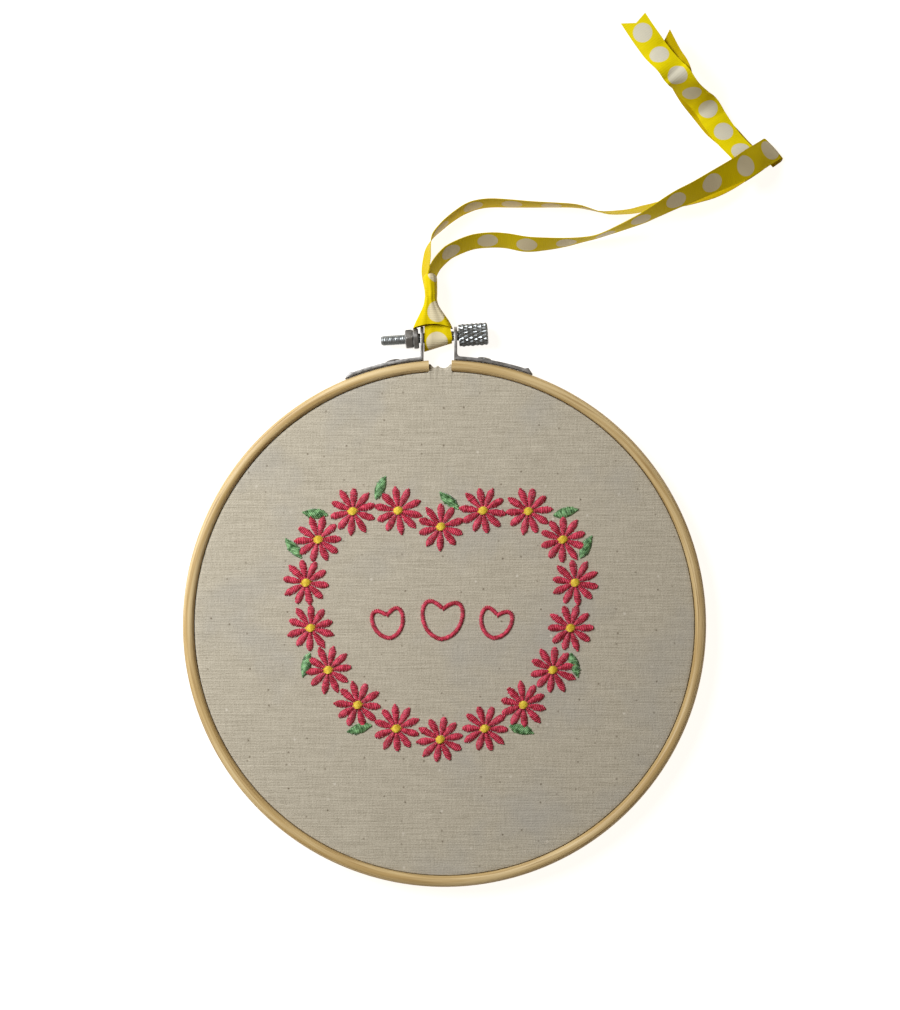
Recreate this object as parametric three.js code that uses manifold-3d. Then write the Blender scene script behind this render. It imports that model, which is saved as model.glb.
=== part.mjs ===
// Hoop embroidery: a calico disc held in a bamboo hoop and worked with a garland of daisies,
// with a screw closing at the top and a ribbon hitched round the screw to hang it by.
// Millimetres. It lies on its back: +X right, +Y towards the screw, +Z out of the cloth's face.

import * as THREE from 'three';
import { mergeVertices } from 'three/addons/utils/BufferGeometryUtils.js';
import Module from 'manifold-3d';

const wasm = await Module();
wasm.setup();

// Space kept between two pieces that meet
const CLEARANCE = 0.3;

// The hoop's two rings
const RING_SEGMENTS = 72;
const OUTER_RADIUS = 101;
const RING_WALL = 4.3;
const OUTER_HEIGHT = 9;
const OUTER_ROUNDING = 2;
const INNER_HEIGHT = 6.2;
const RING_EASING = 0.6;
const SPLIT_X = -1.7;
const SPLIT_WIDTH = 8.9;
// Clamped bamboo springs open towards the split, so the upper half is taller than round
const UPPER_STRETCH = 0.0135;

// The cloth: a disc with its edge turned down between the rings
const CLOTH_THICKNESS = 1;
const CLOTH_EDGE_ROUNDING = 1.1;
const CLOTH_HEM_HEIGHT = 0.6;

// The pucker where the cloth is squeezed out of the split: across from the split's middle, and
// how far out it reaches from the hoop's centre
const PUCKER = [
  { across: -4.1, reach: 100.8 },
  { across: -3.0, reach: 100.0 },
  { across: -2.2, reach: 99.3 },
  { across: -0.9, reach: 100.3 },
  { across: 0.3, reach: 99.4 },
  { across: 2.2, reach: 99.3 },
  { across: 3.2, reach: 100.0 },
  { across: 4.1, reach: 100.8 },
];
const PUCKER_ROOT = 94;

// Raised thread: daisies round a heart, leaves outside it, and three small outlined hearts
const THREAD_SINK = 0.12;
const HEART_CENTRE = { x: -1.5, y: -3 };
const HEART = { halfWidth: 52, halfHeight: 41, shoulder: 27 };
const HEART_FULLNESS = 0.4;
const FLOWER_COUNT = 18;
const PETAL_COUNT = 10;
const PETAL_TURN = 11;
const PETAL_RELIEF = 0.75;
// A petal's half width at each distance from the flower's centre
const PETAL = [
  { along: 2.1, halfWidth: 0 },
  { along: 4.6, halfWidth: 1.3 },
  { along: 7.2, halfWidth: 1.35 },
  { along: 8.8, halfWidth: 0 },
];
const EYE = { halfWidth: 2.2, halfHeight: 1.6, relief: 0.95 };
const LEAF_RELIEF = 0.7;
const LEAF_START = 3.4;
const LEAF = [
  { along: 0, halfWidth: 0 },
  { along: 3.0, halfWidth: 1.9 },
  { along: 6.0, halfWidth: 1.85 },
  { along: 9.3, halfWidth: 0 },
];
// The gap between two flowers that each leaf grows from, counted clockwise from the heart's dip,
// and how far the leaf turns from pointing straight out
const LEAVES = [
  { gap: 0, turn: 26 },
  { gap: 2, turn: -38 },
  { gap: 3, turn: 46 },
  { gap: 5, turn: -52 },
  { gap: 7, turn: 40 },
  { gap: 10, turn: -44 },
  { gap: 12, turn: 50 },
  { gap: 14, turn: -36 },
  { gap: 15, turn: 44 },
  { gap: 16, turn: -24 },
];
const SPRIG_RELIEF = 0.5;
const SPRIG_LINE = 1.7;
const SPRIG_SHAPE = { height: 0.78, shoulder: 0.8 };
const SPRIG_HEARTS = [
  { x: -20, y: 2.5, halfWidth: 6.8, turn: 9 },
  { x: 0.5, y: 3.5, halfWidth: 8.6, turn: -4 },
  { x: 21, y: 2.5, halfWidth: 6.8, turn: -12 },
];

// The closing: two brackets, each a strip whose foot lies along the ring and whose lug stands
// beside the split
const CLOSING_X = -2.2;
const STRIP_THICKNESS = 1.2;
const STRIP_WIDTH = 8;
const LUG_OFFSET = 5.9;
const LUG_HOLE_RADIUS = 2.75;
const FOOT_REACH = 36.2;
const FOOT_CLAW = 3;
const FOOT_CLAW_RISE = 0.6;
const FOOT_SLANT = 1.6;
const HEEL_RADIUS = 1.6;

// Rivets through the brackets' feet
const RIVET_OFFSET = 17.4;
const RIVET_SHANK_RADIUS = 1.2;
const RIVET_HEAD_RADIUS = 2.7;
const RIVET_HEAD_HEIGHT = 0.6;

// Clamping screw and nut, placed along the screw from the middle between the lugs
const SCREW_Y = 111.4;
const SCREW_Z = 4.5;
const SCREW_TILT = 4;
const SCREW_SEGMENTS = 24;
const STUD_RADIUS = 1.9;
const STUD_TIP = -22.4;
const KNOB_START = 7.75;
const KNOB_END = 19;
const KNOB_RADIUS = 4.45;
const KNOB_EASING = 0.5;
const KNURL_ROWS = 12;
const KNURL_DEPTH = 0.35;
const NUT_START = -13;
const NUT_FLANGE_START = -10.2;
const NUT_END = -7.85;
const NUT_FLATS = 7;
const NUT_FLANGE_RADIUS = 4;

// Ribbon
const RIBBON_WIDTH = 10;
const RIBBON_THICKNESS = 1;
const RIBBON_REST = 0.4;
const HITCH_WIDTH = 10.2;
const HITCH_BORE = { across: 4.3, deep: 2.4 };
const COLLAR_BASE = { y: 115.8, left: -12, right: 3.2 };
const COLLAR_NECK = { y: 128.4, left: -7.6, right: -2.9 };
const COLLAR_WAIST = 0.4;
const COLLAR_DEPTH = 7.6;
const COLLAR_BEVEL = 0.7;
// The two strands from the collar to the knot. Lean 0 lies flat and 90 stands on edge, with the
// left side of its way up. Lift is the height of what lies under the ribbon.
const STRAND_UPPER = [
  { x: -7, y: 126.4, lean: 92, lift: 0 },
  { x: -7.5, y: 132, lean: 100, lift: 0 },
  { x: -7.4, y: 137, lean: 107, lift: 0 },
  { x: -6.8, y: 142.1, lean: 107, lift: 0 },
  { x: -6.2, y: 146, lean: 101, lift: 0 },
  { x: -4.5, y: 150.4, lean: 87, lift: 0 },
  { x: -1.1, y: 154.1, lean: 81, lift: 0 },
  { x: 2.1, y: 156.9, lean: 79, lift: 0 },
  { x: 5.9, y: 159.6, lean: 77, lift: 0 },
  { x: 9.2, y: 161.4, lean: 75, lift: 0 },
  { x: 12.9, y: 162.6, lean: 76, lift: 0 },
  { x: 18.1, y: 163.2, lean: 77.5, lift: 0 },
  { x: 25.3, y: 163, lean: 80, lift: 0 },
  { x: 33.8, y: 162.6, lean: 84, lift: 0 },
  { x: 42.2, y: 162.4, lean: 87, lift: 0 },
  { x: 48.3, y: 162.2, lean: 89, lift: 0 },
  { x: 52.6, y: 161.7, lean: 91, lift: 0 },
  { x: 56.2, y: 160.8, lean: 94, lift: 0 },
  { x: 60.1, y: 159.9, lean: 99, lift: 0 },
  { x: 64, y: 159.4, lean: 104, lift: 0 },
  { x: 71.7, y: 159.9, lean: 107, lift: 0 },
  { x: 77, y: 161, lean: 110, lift: 0 },
  { x: 82.1, y: 161.9, lean: 114, lift: 0 },
  { x: 89.9, y: 163.7, lean: 121, lift: 0 },
  { x: 94.8, y: 165.3, lean: 129, lift: 0 },
  { x: 99, y: 167.2, lean: 140, lift: 0 },
  { x: 103.7, y: 169.4, lean: 150, lift: 0 },
  { x: 108.6, y: 172.3, lean: 160, lift: 0 },
  { x: 113.3, y: 175.5, lean: 168, lift: 0 },
  { x: 115.4, y: 177.2, lean: 171, lift: 0 },
];
const STRAND_LOWER = [
  { x: -5.4, y: 126.4, lean: 70, lift: 0 },
  { x: -5.4, y: 131, lean: 70, lift: 0 },
  { x: -4.9, y: 135.2, lean: 70, lift: 0 },
  { x: -3.4, y: 138.8, lean: 68, lift: 0 },
  { x: -0.6, y: 142.2, lean: 65, lift: 0 },
  { x: 2.8, y: 144.9, lean: 63, lift: 0 },
  { x: 10.4, y: 148, lean: 62, lift: 0 },
  { x: 17.6, y: 148.9, lean: 61, lift: 0 },
  { x: 24.1, y: 148.6, lean: 62, lift: 0 },
  { x: 31.7, y: 147.3, lean: 61, lift: 0 },
  { x: 39.5, y: 147.4, lean: 68, lift: 0 },
  { x: 47.1, y: 148, lean: 77, lift: 0.1 },
  { x: 53.7, y: 149, lean: 85, lift: 0.3 },
  { x: 59, y: 150.1, lean: 87, lift: 0.8 },
  { x: 65.5, y: 152.3, lean: 83, lift: 2.2 },
  { x: 70.5, y: 154.1, lean: 78, lift: 4.6 },
  { x: 76.1, y: 156.4, lean: 71, lift: 7.4 },
  { x: 81.5, y: 159.2, lean: 64, lift: 9.6 },
  { x: 89, y: 163.2, lean: 54, lift: 11.5 },
  { x: 95.7, y: 166.3, lean: 49, lift: 12 },
  { x: 102.4, y: 169.7, lean: 41, lift: 12.1 },
  { x: 108, y: 172.5, lean: 31, lift: 12.2 },
  { x: 113, y: 175.1, lean: 19, lift: 11.9 },
  { x: 116.1, y: 177, lean: 11, lift: 11 },
  { x: 119.4, y: 179.3, lean: 6, lift: 8.9 },
  { x: 122.7, y: 181.6, lean: 6, lift: 5.9 },
  { x: 125.9, y: 183.8, lean: 6, lift: 2.8 },
  { x: 127.2, y: 184.7, lean: 6, lift: 1.7 },
];
// The two cut ends beyond the knot
const TAIL_FRONT = [
  { x: 120.4, y: 176.6, lean: 0, lift: 4 },
  { x: 117.6, y: 179.4, lean: 6, lift: 6.4 },
  { x: 115.6, y: 181.3, lean: 14, lift: 6.6 },
  { x: 113.9, y: 183.1, lean: 18, lift: 6 },
  { x: 110.6, y: 187.2, lean: 15, lift: 3.6 },
  { x: 107.5, y: 191.6, lean: 8, lift: 2.4 },
  { x: 104.4, y: 196.4, lean: 0, lift: 2.1 },
  { x: 101.6, y: 200.7, lean: -20, lift: 1.2 },
  { x: 98.2, y: 203.3, lean: -42, lift: 2.8 },
  { x: 94.8, y: 205.4, lean: -46, lift: 6.5 },
  { x: 91.8, y: 207.6, lean: -40, lift: 11.1 },
  { x: 88.8, y: 210.4, lean: -10, lift: 16.1 },
  { x: 85.6, y: 214.2, lean: 14, lift: 15.4 },
  { x: 82.4, y: 218.3, lean: 8, lift: 13.6 },
  { x: 79.1, y: 223, lean: -6, lift: 12.2 },
  { x: 75.9, y: 227.6, lean: -12, lift: 11.5 },
  { x: 72.8, y: 232.3, lean: -14, lift: 11.3 },
];
const TAIL_BACK = [
  { x: 118.8, y: 178.6, lean: 180, lift: 4 },
  { x: 113.8, y: 184.3, lean: 194, lift: 3.5 },
  { x: 109.6, y: 189.4, lean: 188, lift: 1.4 },
  { x: 105.2, y: 193.8, lean: 180, lift: 0.9 },
  { x: 100, y: 200.2, lean: 165, lift: 0.2 },
  { x: 94, y: 205.4, lean: 138, lift: 4.8 },
  { x: 90.6, y: 209, lean: 145, lift: 10.4 },
  { x: 87.9, y: 213.8, lean: 180, lift: 15.4 },
  { x: 85.2, y: 219, lean: 190, lift: 12.3 },
  { x: 81.5, y: 226.8, lean: 182, lift: 11.6 },
];
const SWALLOWTAIL = 4;
// The knot's middle, its way seen from above, its slope, and half its length and height
const KNOT = {
  x: 117.5,
  y: 178,
  z: 5.7,
  heading: 34,
  slope: -24,
  halfLength: 6.5,
  halfHeight: 5,
  width: 9.4,
};

const bamboo = new THREE.MeshStandardMaterial({ color: 0xcfb280, roughness: 0.55, metalness: 0 });
const calico = new THREE.MeshStandardMaterial({ color: 0xb1a793, roughness: 0.95, metalness: 0 });
const zinc = new THREE.MeshStandardMaterial({ color: 0x9b9d9c, roughness: 0.35, metalness: 0.9 });
const satin = new THREE.MeshStandardMaterial({ color: 0xdcc71e, roughness: 0.6, metalness: 0 });

const radians = THREE.MathUtils.degToRad;

// How far the top of the outer ring stands above a round one
const ringRise = UPPER_STRETCH * OUTER_RADIUS;

// A closed geometry becomes a solid that can be joined and cut
function toSolid(geometry) {
  const bare = geometry.clone();
  bare.deleteAttribute('normal');
  bare.deleteAttribute('uv');
  const merged = mergeVertices(bare, 1e-4);
  const corners = merged.index.array;
  const triangles = [];
  for (let i = 0; i < corners.length; i += 3) {
    const [a, b, c] = corners.slice(i, i + 3);
    if (a !== b && b !== c && c !== a) {
      triangles.push(a, b, c);
    }
  }
  return new wasm.Manifold(new wasm.Mesh({
    numProp: 3,
    vertProperties: merged.attributes.position.array,
    triVerts: new Uint32Array(triangles),
  }));
}

function join(solids) {
  return solids.reduce((whole, solid) => whole.add(solid));
}

function toMesh(name, solid, material) {
  const { vertProperties, triVerts } = solid.getMesh();
  const geometry = new THREE.BufferGeometry();
  geometry.setAttribute('position', new THREE.BufferAttribute(vertProperties, 3));
  geometry.setIndex(new THREE.BufferAttribute(triVerts, 1));
  geometry.computeVertexNormals();
  const mesh = new THREE.Mesh(geometry, material);
  mesh.name = name;
  return mesh;
}

function box(low, high) {
  const size = high.map((value, axis) => value - low[axis]);
  const middle = high.map((value, axis) => (value + low[axis]) / 2);
  return toSolid(new THREE.BoxGeometry(...size).translate(...middle));
}

// A profile of radius and height turned about the hoop's axis, with its upper half stretched
function ring(profile) {
  const points = profile.map(([radius, height]) => new THREE.Vector2(radius, height));
  const turned = new THREE.LatheGeometry(points, RING_SEGMENTS).rotateX(Math.PI / 2);
  const place = turned.attributes.position;
  for (let i = 0; i < place.count; i += 1) {
    const y = place.getY(i);
    place.setY(i, y + UPPER_STRETCH * Math.max(0, y));
  }
  return toSolid(turned);
}

function corner(radius, height, rounding, startDegrees) {
  const turn = new THREE.EllipseCurve(
    radius, height, rounding, rounding,
    radians(startDegrees), radians(startDegrees + 90),
  );
  return turn.getPoints(3).map((point) => [point.x, point.y]);
}

// A shaft across the ring at the place of a rivet, from one radius to another
function radialShaft(x, radius, low, high) {
  const shaft = new THREE.CylinderGeometry(radius, radius, high - low, 12);
  shaft.translate(0, (low + high) / 2, 0);
  shaft.rotateZ(-Math.asin(x / OUTER_RADIUS));
  return toSolid(shaft.translate(0, ringRise, SCREW_Z));
}

function outerHoop() {
  const inside = OUTER_RADIUS - RING_WALL;
  const shoulder = OUTER_HEIGHT - OUTER_ROUNDING;
  const profile = [
    [inside + RING_EASING, 0],
    [OUTER_RADIUS - RING_EASING, 0],
    [OUTER_RADIUS, RING_EASING],
    ...corner(OUTER_RADIUS - OUTER_ROUNDING, shoulder, OUTER_ROUNDING, 0),
    ...corner(inside + OUTER_ROUNDING, shoulder, OUTER_ROUNDING, 90),
    [inside, RING_EASING],
    [inside + RING_EASING, 0],
  ];
  const split = box(
    [SPLIT_X - SPLIT_WIDTH / 2, inside - RING_WALL, -1],
    [SPLIT_X + SPLIT_WIDTH / 2, OUTER_RADIUS + RING_WALL, OUTER_HEIGHT + 1],
  );
  const rivetHoles = [-1, 1].map((side) => radialShaft(
    CLOSING_X + side * RIVET_OFFSET, RIVET_SHANK_RADIUS + CLEARANCE, inside - 1, OUTER_RADIUS + 1,
  ));
  return rivetHoles.reduce((hoop, hole) => hoop.subtract(hole), ring(profile).subtract(split));
}

const skirtOutside = OUTER_RADIUS - RING_WALL - CLEARANCE;
const skirtInside = skirtOutside - CLOTH_THICKNESS;
const innerOutside = skirtInside - CLEARANCE;
const clothUnderside = INNER_HEIGHT + CLEARANCE;
const clothTop = clothUnderside + CLOTH_THICKNESS;

function innerHoop() {
  const inside = innerOutside - RING_WALL;
  const profile = [
    [inside + RING_EASING, 0],
    [innerOutside - RING_EASING, 0],
    [innerOutside, RING_EASING],
    [innerOutside, INNER_HEIGHT - RING_EASING],
    [innerOutside - RING_EASING, INNER_HEIGHT],
    [inside + RING_EASING, INNER_HEIGHT],
    [inside, INNER_HEIGHT - RING_EASING],
    [inside, RING_EASING],
    [inside + RING_EASING, 0],
  ];
  return ring(profile);
}

// A heart is an ellipse whose two halves are slid upwards towards the sides, more so at the top
class HeartCurve extends THREE.Curve {
  constructor(halfWidth, halfHeight, shoulder) {
    super();
    this.size = { halfWidth, halfHeight, shoulder };
  }

  getPoint(t, target = new THREE.Vector2()) {
    const { halfWidth, halfHeight, shoulder } = this.size;
    const turn = 2 * Math.PI * t;
    const side = Math.sin(turn);
    const rise = shoulder * Math.abs(side) * (1 - HEART_FULLNESS + HEART_FULLNESS * Math.cos(turn));
    return target.set(halfWidth * side, halfHeight * Math.cos(turn) + rise);
  }
}

// A spindle of raised thread lying along +Y, half sunk in the cloth
function spindle(rows, relief) {
  const widest = Math.max(...rows.map((row) => row.halfWidth));
  const profile = rows.map((row) => new THREE.Vector2(row.halfWidth, row.along));
  return new THREE.LatheGeometry(profile, 6).rotateY(Math.PI / 6).scale(1, 1, relief / widest);
}

function flower(place, turn) {
  const pieces = [];
  for (let i = 0; i < PETAL_COUNT; i += 1) {
    const petal = spindle(PETAL, PETAL_RELIEF).rotateZ(turn + (2 * Math.PI * i) / PETAL_COUNT);
    pieces.push(petal);
  }
  const eye = new THREE.SphereGeometry(1, 8, 4).rotateX(Math.PI / 2);
  pieces.push(eye.scale(EYE.halfWidth, EYE.halfHeight, EYE.relief));
  const sunk = clothTop - THREAD_SINK;
  return join(pieces.map((piece) => toSolid(piece.translate(place.x, place.y, sunk))));
}

function leaf(curve, row) {
  const along = (row.gap + 0.5) / FLOWER_COUNT;
  const place = curve.getPointAt(along);
  const tangent = curve.getTangentAt(along);
  const outward = new THREE.Vector2(-tangent.y, tangent.x);
  const heading = Math.atan2(-outward.x, outward.y) + radians(row.turn);
  const blade = spindle(LEAF, LEAF_RELIEF).rotateZ(heading);
  return toSolid(blade.translate(
    HEART_CENTRE.x + place.x + outward.x * LEAF_START,
    HEART_CENTRE.y + place.y + outward.y * LEAF_START,
    clothTop - THREAD_SINK,
  ));
}

function sprigHeart(row) {
  const { height, shoulder } = SPRIG_SHAPE;
  const curve = new HeartCurve(row.halfWidth, row.halfWidth * height, row.halfWidth * shoulder);
  const outside = curve.getPoints(24).slice(1).reverse();
  const shrink = 1 - SPRIG_LINE / row.halfWidth;
  const outline = new THREE.Shape(outside);
  outline.holes.push(new THREE.Path(outside.map((point) => point.clone().multiplyScalar(shrink))));
  const raised = new THREE.ExtrudeGeometry(outline, {
    depth: SPRIG_RELIEF + THREAD_SINK,
    bevelEnabled: false,
  });
  raised.rotateZ(radians(row.turn));
  return toSolid(raised.translate(HEART_CENTRE.x + row.x, HEART_CENTRE.y + row.y, clothTop - THREAD_SINK));
}

function garland() {
  const curve = new HeartCurve(HEART.halfWidth, HEART.halfHeight, HEART.shoulder);
  const places = curve.getSpacedPoints(FLOWER_COUNT).slice(0, -1);
  const flowers = places.map((place, i) => flower(
    { x: HEART_CENTRE.x + place.x, y: HEART_CENTRE.y + place.y },
    radians(PETAL_TURN * i),
  ));
  const leaves = LEAVES.map((row) => leaf(curve, row));
  return join([...flowers, ...leaves, ...SPRIG_HEARTS.map(sprigHeart)]);
}

// The squeezed fold: a roof level with the cloth and a wall below it, one cloth thick
function pucker() {
  const crest = new THREE.SplineCurve(
    PUCKER.map((row) => new THREE.Vector2(SPLIT_X + row.across, row.reach)),
  ).getPoints(15);
  const first = crest[0];
  const last = crest[crest.length - 1];
  const roof = new THREE.Shape([
    new THREE.Vector2(last.x, PUCKER_ROOT),
    ...crest.slice().reverse(),
    new THREE.Vector2(first.x, PUCKER_ROOT),
  ]);
  const wallRoot = skirtInside * (1 + UPPER_STRETCH);
  const back = crest.map((point) => new THREE.Vector2(point.x, point.y - CLOTH_THICKNESS));
  const wall = new THREE.Shape([
    new THREE.Vector2(last.x, wallRoot),
    ...crest.slice().reverse(),
    new THREE.Vector2(first.x, wallRoot),
    new THREE.Vector2(first.x + CLOTH_THICKNESS, wallRoot),
    ...back.slice(2, -2),
    new THREE.Vector2(last.x - CLOTH_THICKNESS, wallRoot),
  ]);
  const roofPlate = new THREE.ExtrudeGeometry(roof, { depth: CLOTH_THICKNESS, bevelEnabled: false });
  const wallPlate = new THREE.ExtrudeGeometry(wall, {
    depth: clothTop - CLOTH_THICKNESS / 2 - CLOTH_HEM_HEIGHT,
    bevelEnabled: false,
  });
  const roofSolid = toSolid(roofPlate.translate(0, 0, clothUnderside));
  return roofSolid.add(toSolid(wallPlate.translate(0, 0, CLOTH_HEM_HEIGHT)));
}

function clothSolid() {
  const profile = [
    [0, clothUnderside],
    [skirtInside, clothUnderside],
    [skirtInside, CLOTH_HEM_HEIGHT],
    [skirtOutside, CLOTH_HEM_HEIGHT],
    ...corner(skirtOutside - CLOTH_EDGE_ROUNDING, clothTop - CLOTH_EDGE_ROUNDING, CLOTH_EDGE_ROUNDING, 0),
    [0, clothTop],
  ];
  return join([ring(profile), pucker(), garland()]);
}

function bracket(side) {
  const innerRadius = OUTER_RADIUS + CLEARANCE;
  const outerRadius = innerRadius + STRIP_THICKNESS;
  const lugInside = CLOSING_X + side * LUG_OFFSET;
  const lugOutside = lugInside + side * STRIP_THICKNESS;
  const heel = lugOutside + side * HEEL_RADIUS;
  const clawStart = CLOSING_X + side * (FOOT_REACH - FOOT_CLAW);
  const footEnd = CLOSING_X + side * FOOT_REACH;
  const clawTop = footEnd - side * FOOT_SLANT;
  const lugTop = SCREW_Y - ringRise + STRIP_WIDTH / 2;
  const angleAt = (radius, x) => Math.acos(x / radius);
  const heightAt = (radius, x) => Math.sqrt(radius * radius - x * x);

  const outline = new THREE.Shape();
  const footAngle = angleAt(innerRadius, footEnd);
  outline.absarc(0, 0, innerRadius, footAngle, angleAt(innerRadius, lugInside), side < 0);
  outline.lineTo(lugInside, lugTop);
  outline.lineTo(lugOutside, lugTop);
  outline.lineTo(lugOutside, heightAt(outerRadius, heel) + HEEL_RADIUS);
  outline.quadraticCurveTo(
    lugOutside, heightAt(outerRadius, heel),
    heel, heightAt(outerRadius, heel),
  );
  const heelAngle = angleAt(outerRadius, heel);
  outline.absarc(0, 0, outerRadius, heelAngle, angleAt(outerRadius, clawStart), side > 0);
  outline.lineTo(clawTop, heightAt(outerRadius + FOOT_CLAW_RISE, clawTop));
  outline.closePath();
  const strip = toSolid(new THREE.ExtrudeGeometry(outline, {
    depth: STRIP_WIDTH,
    bevelEnabled: false,
    curveSegments: 12,
  }).translate(0, ringRise, SCREW_Z - STRIP_WIDTH / 2));

  // The lug's end is round about the hole
  const lugMiddle = (lugInside + lugOutside) / 2;
  const across = (radius) => toSolid(
    new THREE.CylinderGeometry(radius, radius, 3 * STRIP_THICKNESS, 20)
      .rotateZ(Math.PI / 2).translate(lugMiddle, SCREW_Y, SCREW_Z),
  );
  const belowHole = box([-OUTER_RADIUS, 0, -1], [OUTER_RADIUS, SCREW_Y, OUTER_HEIGHT + 1]);
  const rivetHole = radialShaft(
    CLOSING_X + side * RIVET_OFFSET, RIVET_SHANK_RADIUS + CLEARANCE, OUTER_RADIUS - 1, OUTER_RADIUS + 3,
  );
  return strip
    .intersect(belowHole.add(across(STRIP_WIDTH / 2)))
    .subtract(across(LUG_HOLE_RADIUS))
    .subtract(rivetHole);
}

function rivet(side) {
  const seat = OUTER_RADIUS + 2 * CLEARANCE + STRIP_THICKNESS;
  const shankEnd = OUTER_RADIUS - RING_WALL + CLEARANCE;
  const dome = new THREE.EllipseCurve(0, seat, RIVET_HEAD_RADIUS, RIVET_HEAD_HEIGHT, 0, Math.PI / 2);
  const profile = [
    new THREE.Vector2(0, shankEnd),
    new THREE.Vector2(RIVET_SHANK_RADIUS, shankEnd),
    new THREE.Vector2(RIVET_SHANK_RADIUS, seat),
    ...dome.getPoints(3).slice(0, -1),
    new THREE.Vector2(0, seat + RIVET_HEAD_HEIGHT),
  ];
  const turned = new THREE.LatheGeometry(profile, 12);
  turned.rotateZ(-Math.asin((CLOSING_X + side * RIVET_OFFSET) / OUTER_RADIUS));
  return toSolid(turned.translate(0, ringRise, SCREW_Z));
}

// Turned about the screw's own axis, which runs along local +X
function turnedAlongScrew(profile, segments) {
  const points = profile.map(([radius, along]) => new THREE.Vector2(radius, along));
  return new THREE.LatheGeometry(points, segments);
}

function screwSolid() {
  const knurlStart = KNOB_START + KNOB_EASING;
  const knurlStep = (KNOB_END - KNOB_EASING - knurlStart) / KNURL_ROWS;
  const profile = [
    [0, STUD_TIP],
    [STUD_RADIUS - KNOB_EASING, STUD_TIP],
    [STUD_RADIUS, STUD_TIP + KNOB_EASING],
    [STUD_RADIUS, KNOB_START],
    [KNOB_RADIUS - KNOB_EASING, KNOB_START],
  ];
  const firstRow = profile.length;
  for (let row = 0; row <= KNURL_ROWS; row += 1) {
    profile.push([KNOB_RADIUS, knurlStart + knurlStep * row]);
  }
  profile.push([KNOB_RADIUS - KNOB_EASING, KNOB_END]);
  profile.push([0, KNOB_END]);

  // Every other point of the barrel is pressed in, which leaves a diamond knurl
  const turned = turnedAlongScrew(profile, SCREW_SEGMENTS);
  const place = turned.attributes.position;
  const pressed = 1 - KNURL_DEPTH / KNOB_RADIUS;
  for (let column = 0; column <= SCREW_SEGMENTS; column += 1) {
    for (let row = 1; row < KNURL_ROWS; row += 1) {
      if ((column + row) % 2 === 0) {
        const point = column * profile.length + firstRow + row;
        place.setX(point, place.getX(point) * pressed);
        place.setZ(point, place.getZ(point) * pressed);
      }
    }
  }
  return toSolid(turned.rotateZ(-Math.PI / 2));
}

function nutSolid() {
  const hexLength = NUT_FLANGE_START - NUT_START + 0.5;
  const hexRadius = NUT_FLATS / Math.sqrt(3);
  const hexagon = new THREE.CylinderGeometry(hexRadius, hexRadius, hexLength, 6);
  hexagon.translate(0, NUT_START + hexLength / 2, 0);
  const flange = turnedAlongScrew([
    [0, NUT_FLANGE_START],
    [NUT_FLANGE_RADIUS * 0.85, NUT_FLANGE_START],
    [NUT_FLANGE_RADIUS, NUT_FLANGE_START + 1],
    [NUT_FLANGE_RADIUS, NUT_END],
    [0, NUT_END],
  ], SCREW_SEGMENTS);
  const boreRadius = STUD_RADIUS + CLEARANCE;
  const bore = new THREE.CylinderGeometry(boreRadius, boreRadius, 4 * hexLength, SCREW_SEGMENTS);
  bore.translate(0, NUT_END, 0);
  const [body, collar, hole] = [hexagon, flange, bore].map((piece) => toSolid(piece.rotateZ(-Math.PI / 2)));
  return body.add(collar).subtract(hole);
}

// The ribbon's route: each row lies on what is under it, at its own lean
class RibbonPath extends THREE.CatmullRomCurve3 {
  constructor(rows) {
    super(rows.map((row) => {
      const lean = radians(row.lean);
      const onEdge = Math.abs(Math.sin(lean)) * RIBBON_WIDTH;
      const onFace = Math.abs(Math.cos(lean)) * RIBBON_THICKNESS;
      return new THREE.Vector3(row.x, row.y, RIBBON_REST + row.lift + (onEdge + onFace) / 2);
    }));
    this.leans = rows.map((row) => radians(row.lean));
  }

  leanAt(u) {
    const place = this.getUtoTmapping(u) * (this.leans.length - 1);
    const row = Math.min(Math.floor(place), this.leans.length - 2);
    return THREE.MathUtils.lerp(this.leans[row], this.leans[row + 1], place - row);
  }

  computeFrenetFrames(steps) {
    const frames = { tangents: [], normals: [], binormals: [] };
    for (let i = 0; i <= steps; i += 1) {
      const tangent = this.getTangentAt(i / steps);
      const lean = this.leanAt(i / steps);
      const across = new THREE.Vector3(-tangent.y, tangent.x, 0).normalize();
      const up = new THREE.Vector3().crossVectors(tangent, across);
      const normal = across.multiplyScalar(Math.cos(lean)).addScaledVector(up, Math.sin(lean));
      frames.tangents.push(tangent);
      frames.normals.push(normal);
      frames.binormals.push(new THREE.Vector3().crossVectors(tangent, normal));
    }
    return frames;
  }
}

function ribbonLength(rows) {
  const halfWidth = RIBBON_WIDTH / 2;
  const halfThickness = RIBBON_THICKNESS / 2;
  const section = new THREE.Shape([
    new THREE.Vector2(-halfWidth, -halfThickness),
    new THREE.Vector2(halfWidth, -halfThickness),
    new THREE.Vector2(halfWidth, halfThickness),
    new THREE.Vector2(-halfWidth, halfThickness),
  ]);
  return toSolid(new THREE.ExtrudeGeometry(section, {
    steps: 2 * (rows.length - 1),
    extrudePath: new RibbonPath(rows),
  }));
}

// A tail with a V cut out of its end
function tail(rows) {
  const end = rows[rows.length - 1];
  const before = rows[rows.length - 2];
  const notch = new THREE.Shape([
    new THREE.Vector2(0, -SWALLOWTAIL),
    new THREE.Vector2(RIBBON_WIDTH / 2 + 0.5, 1),
    new THREE.Vector2(-RIBBON_WIDTH / 2 - 0.5, 1),
  ]);
  const cutter = new THREE.ExtrudeGeometry(notch, { depth: 2 * RIBBON_WIDTH, bevelEnabled: false });
  cutter.rotateZ(Math.atan2(before.x - end.x, end.y - before.y));
  return ribbonLength(rows).subtract(toSolid(cutter.translate(end.x, end.y, end.lift - RIBBON_WIDTH)));
}

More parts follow.
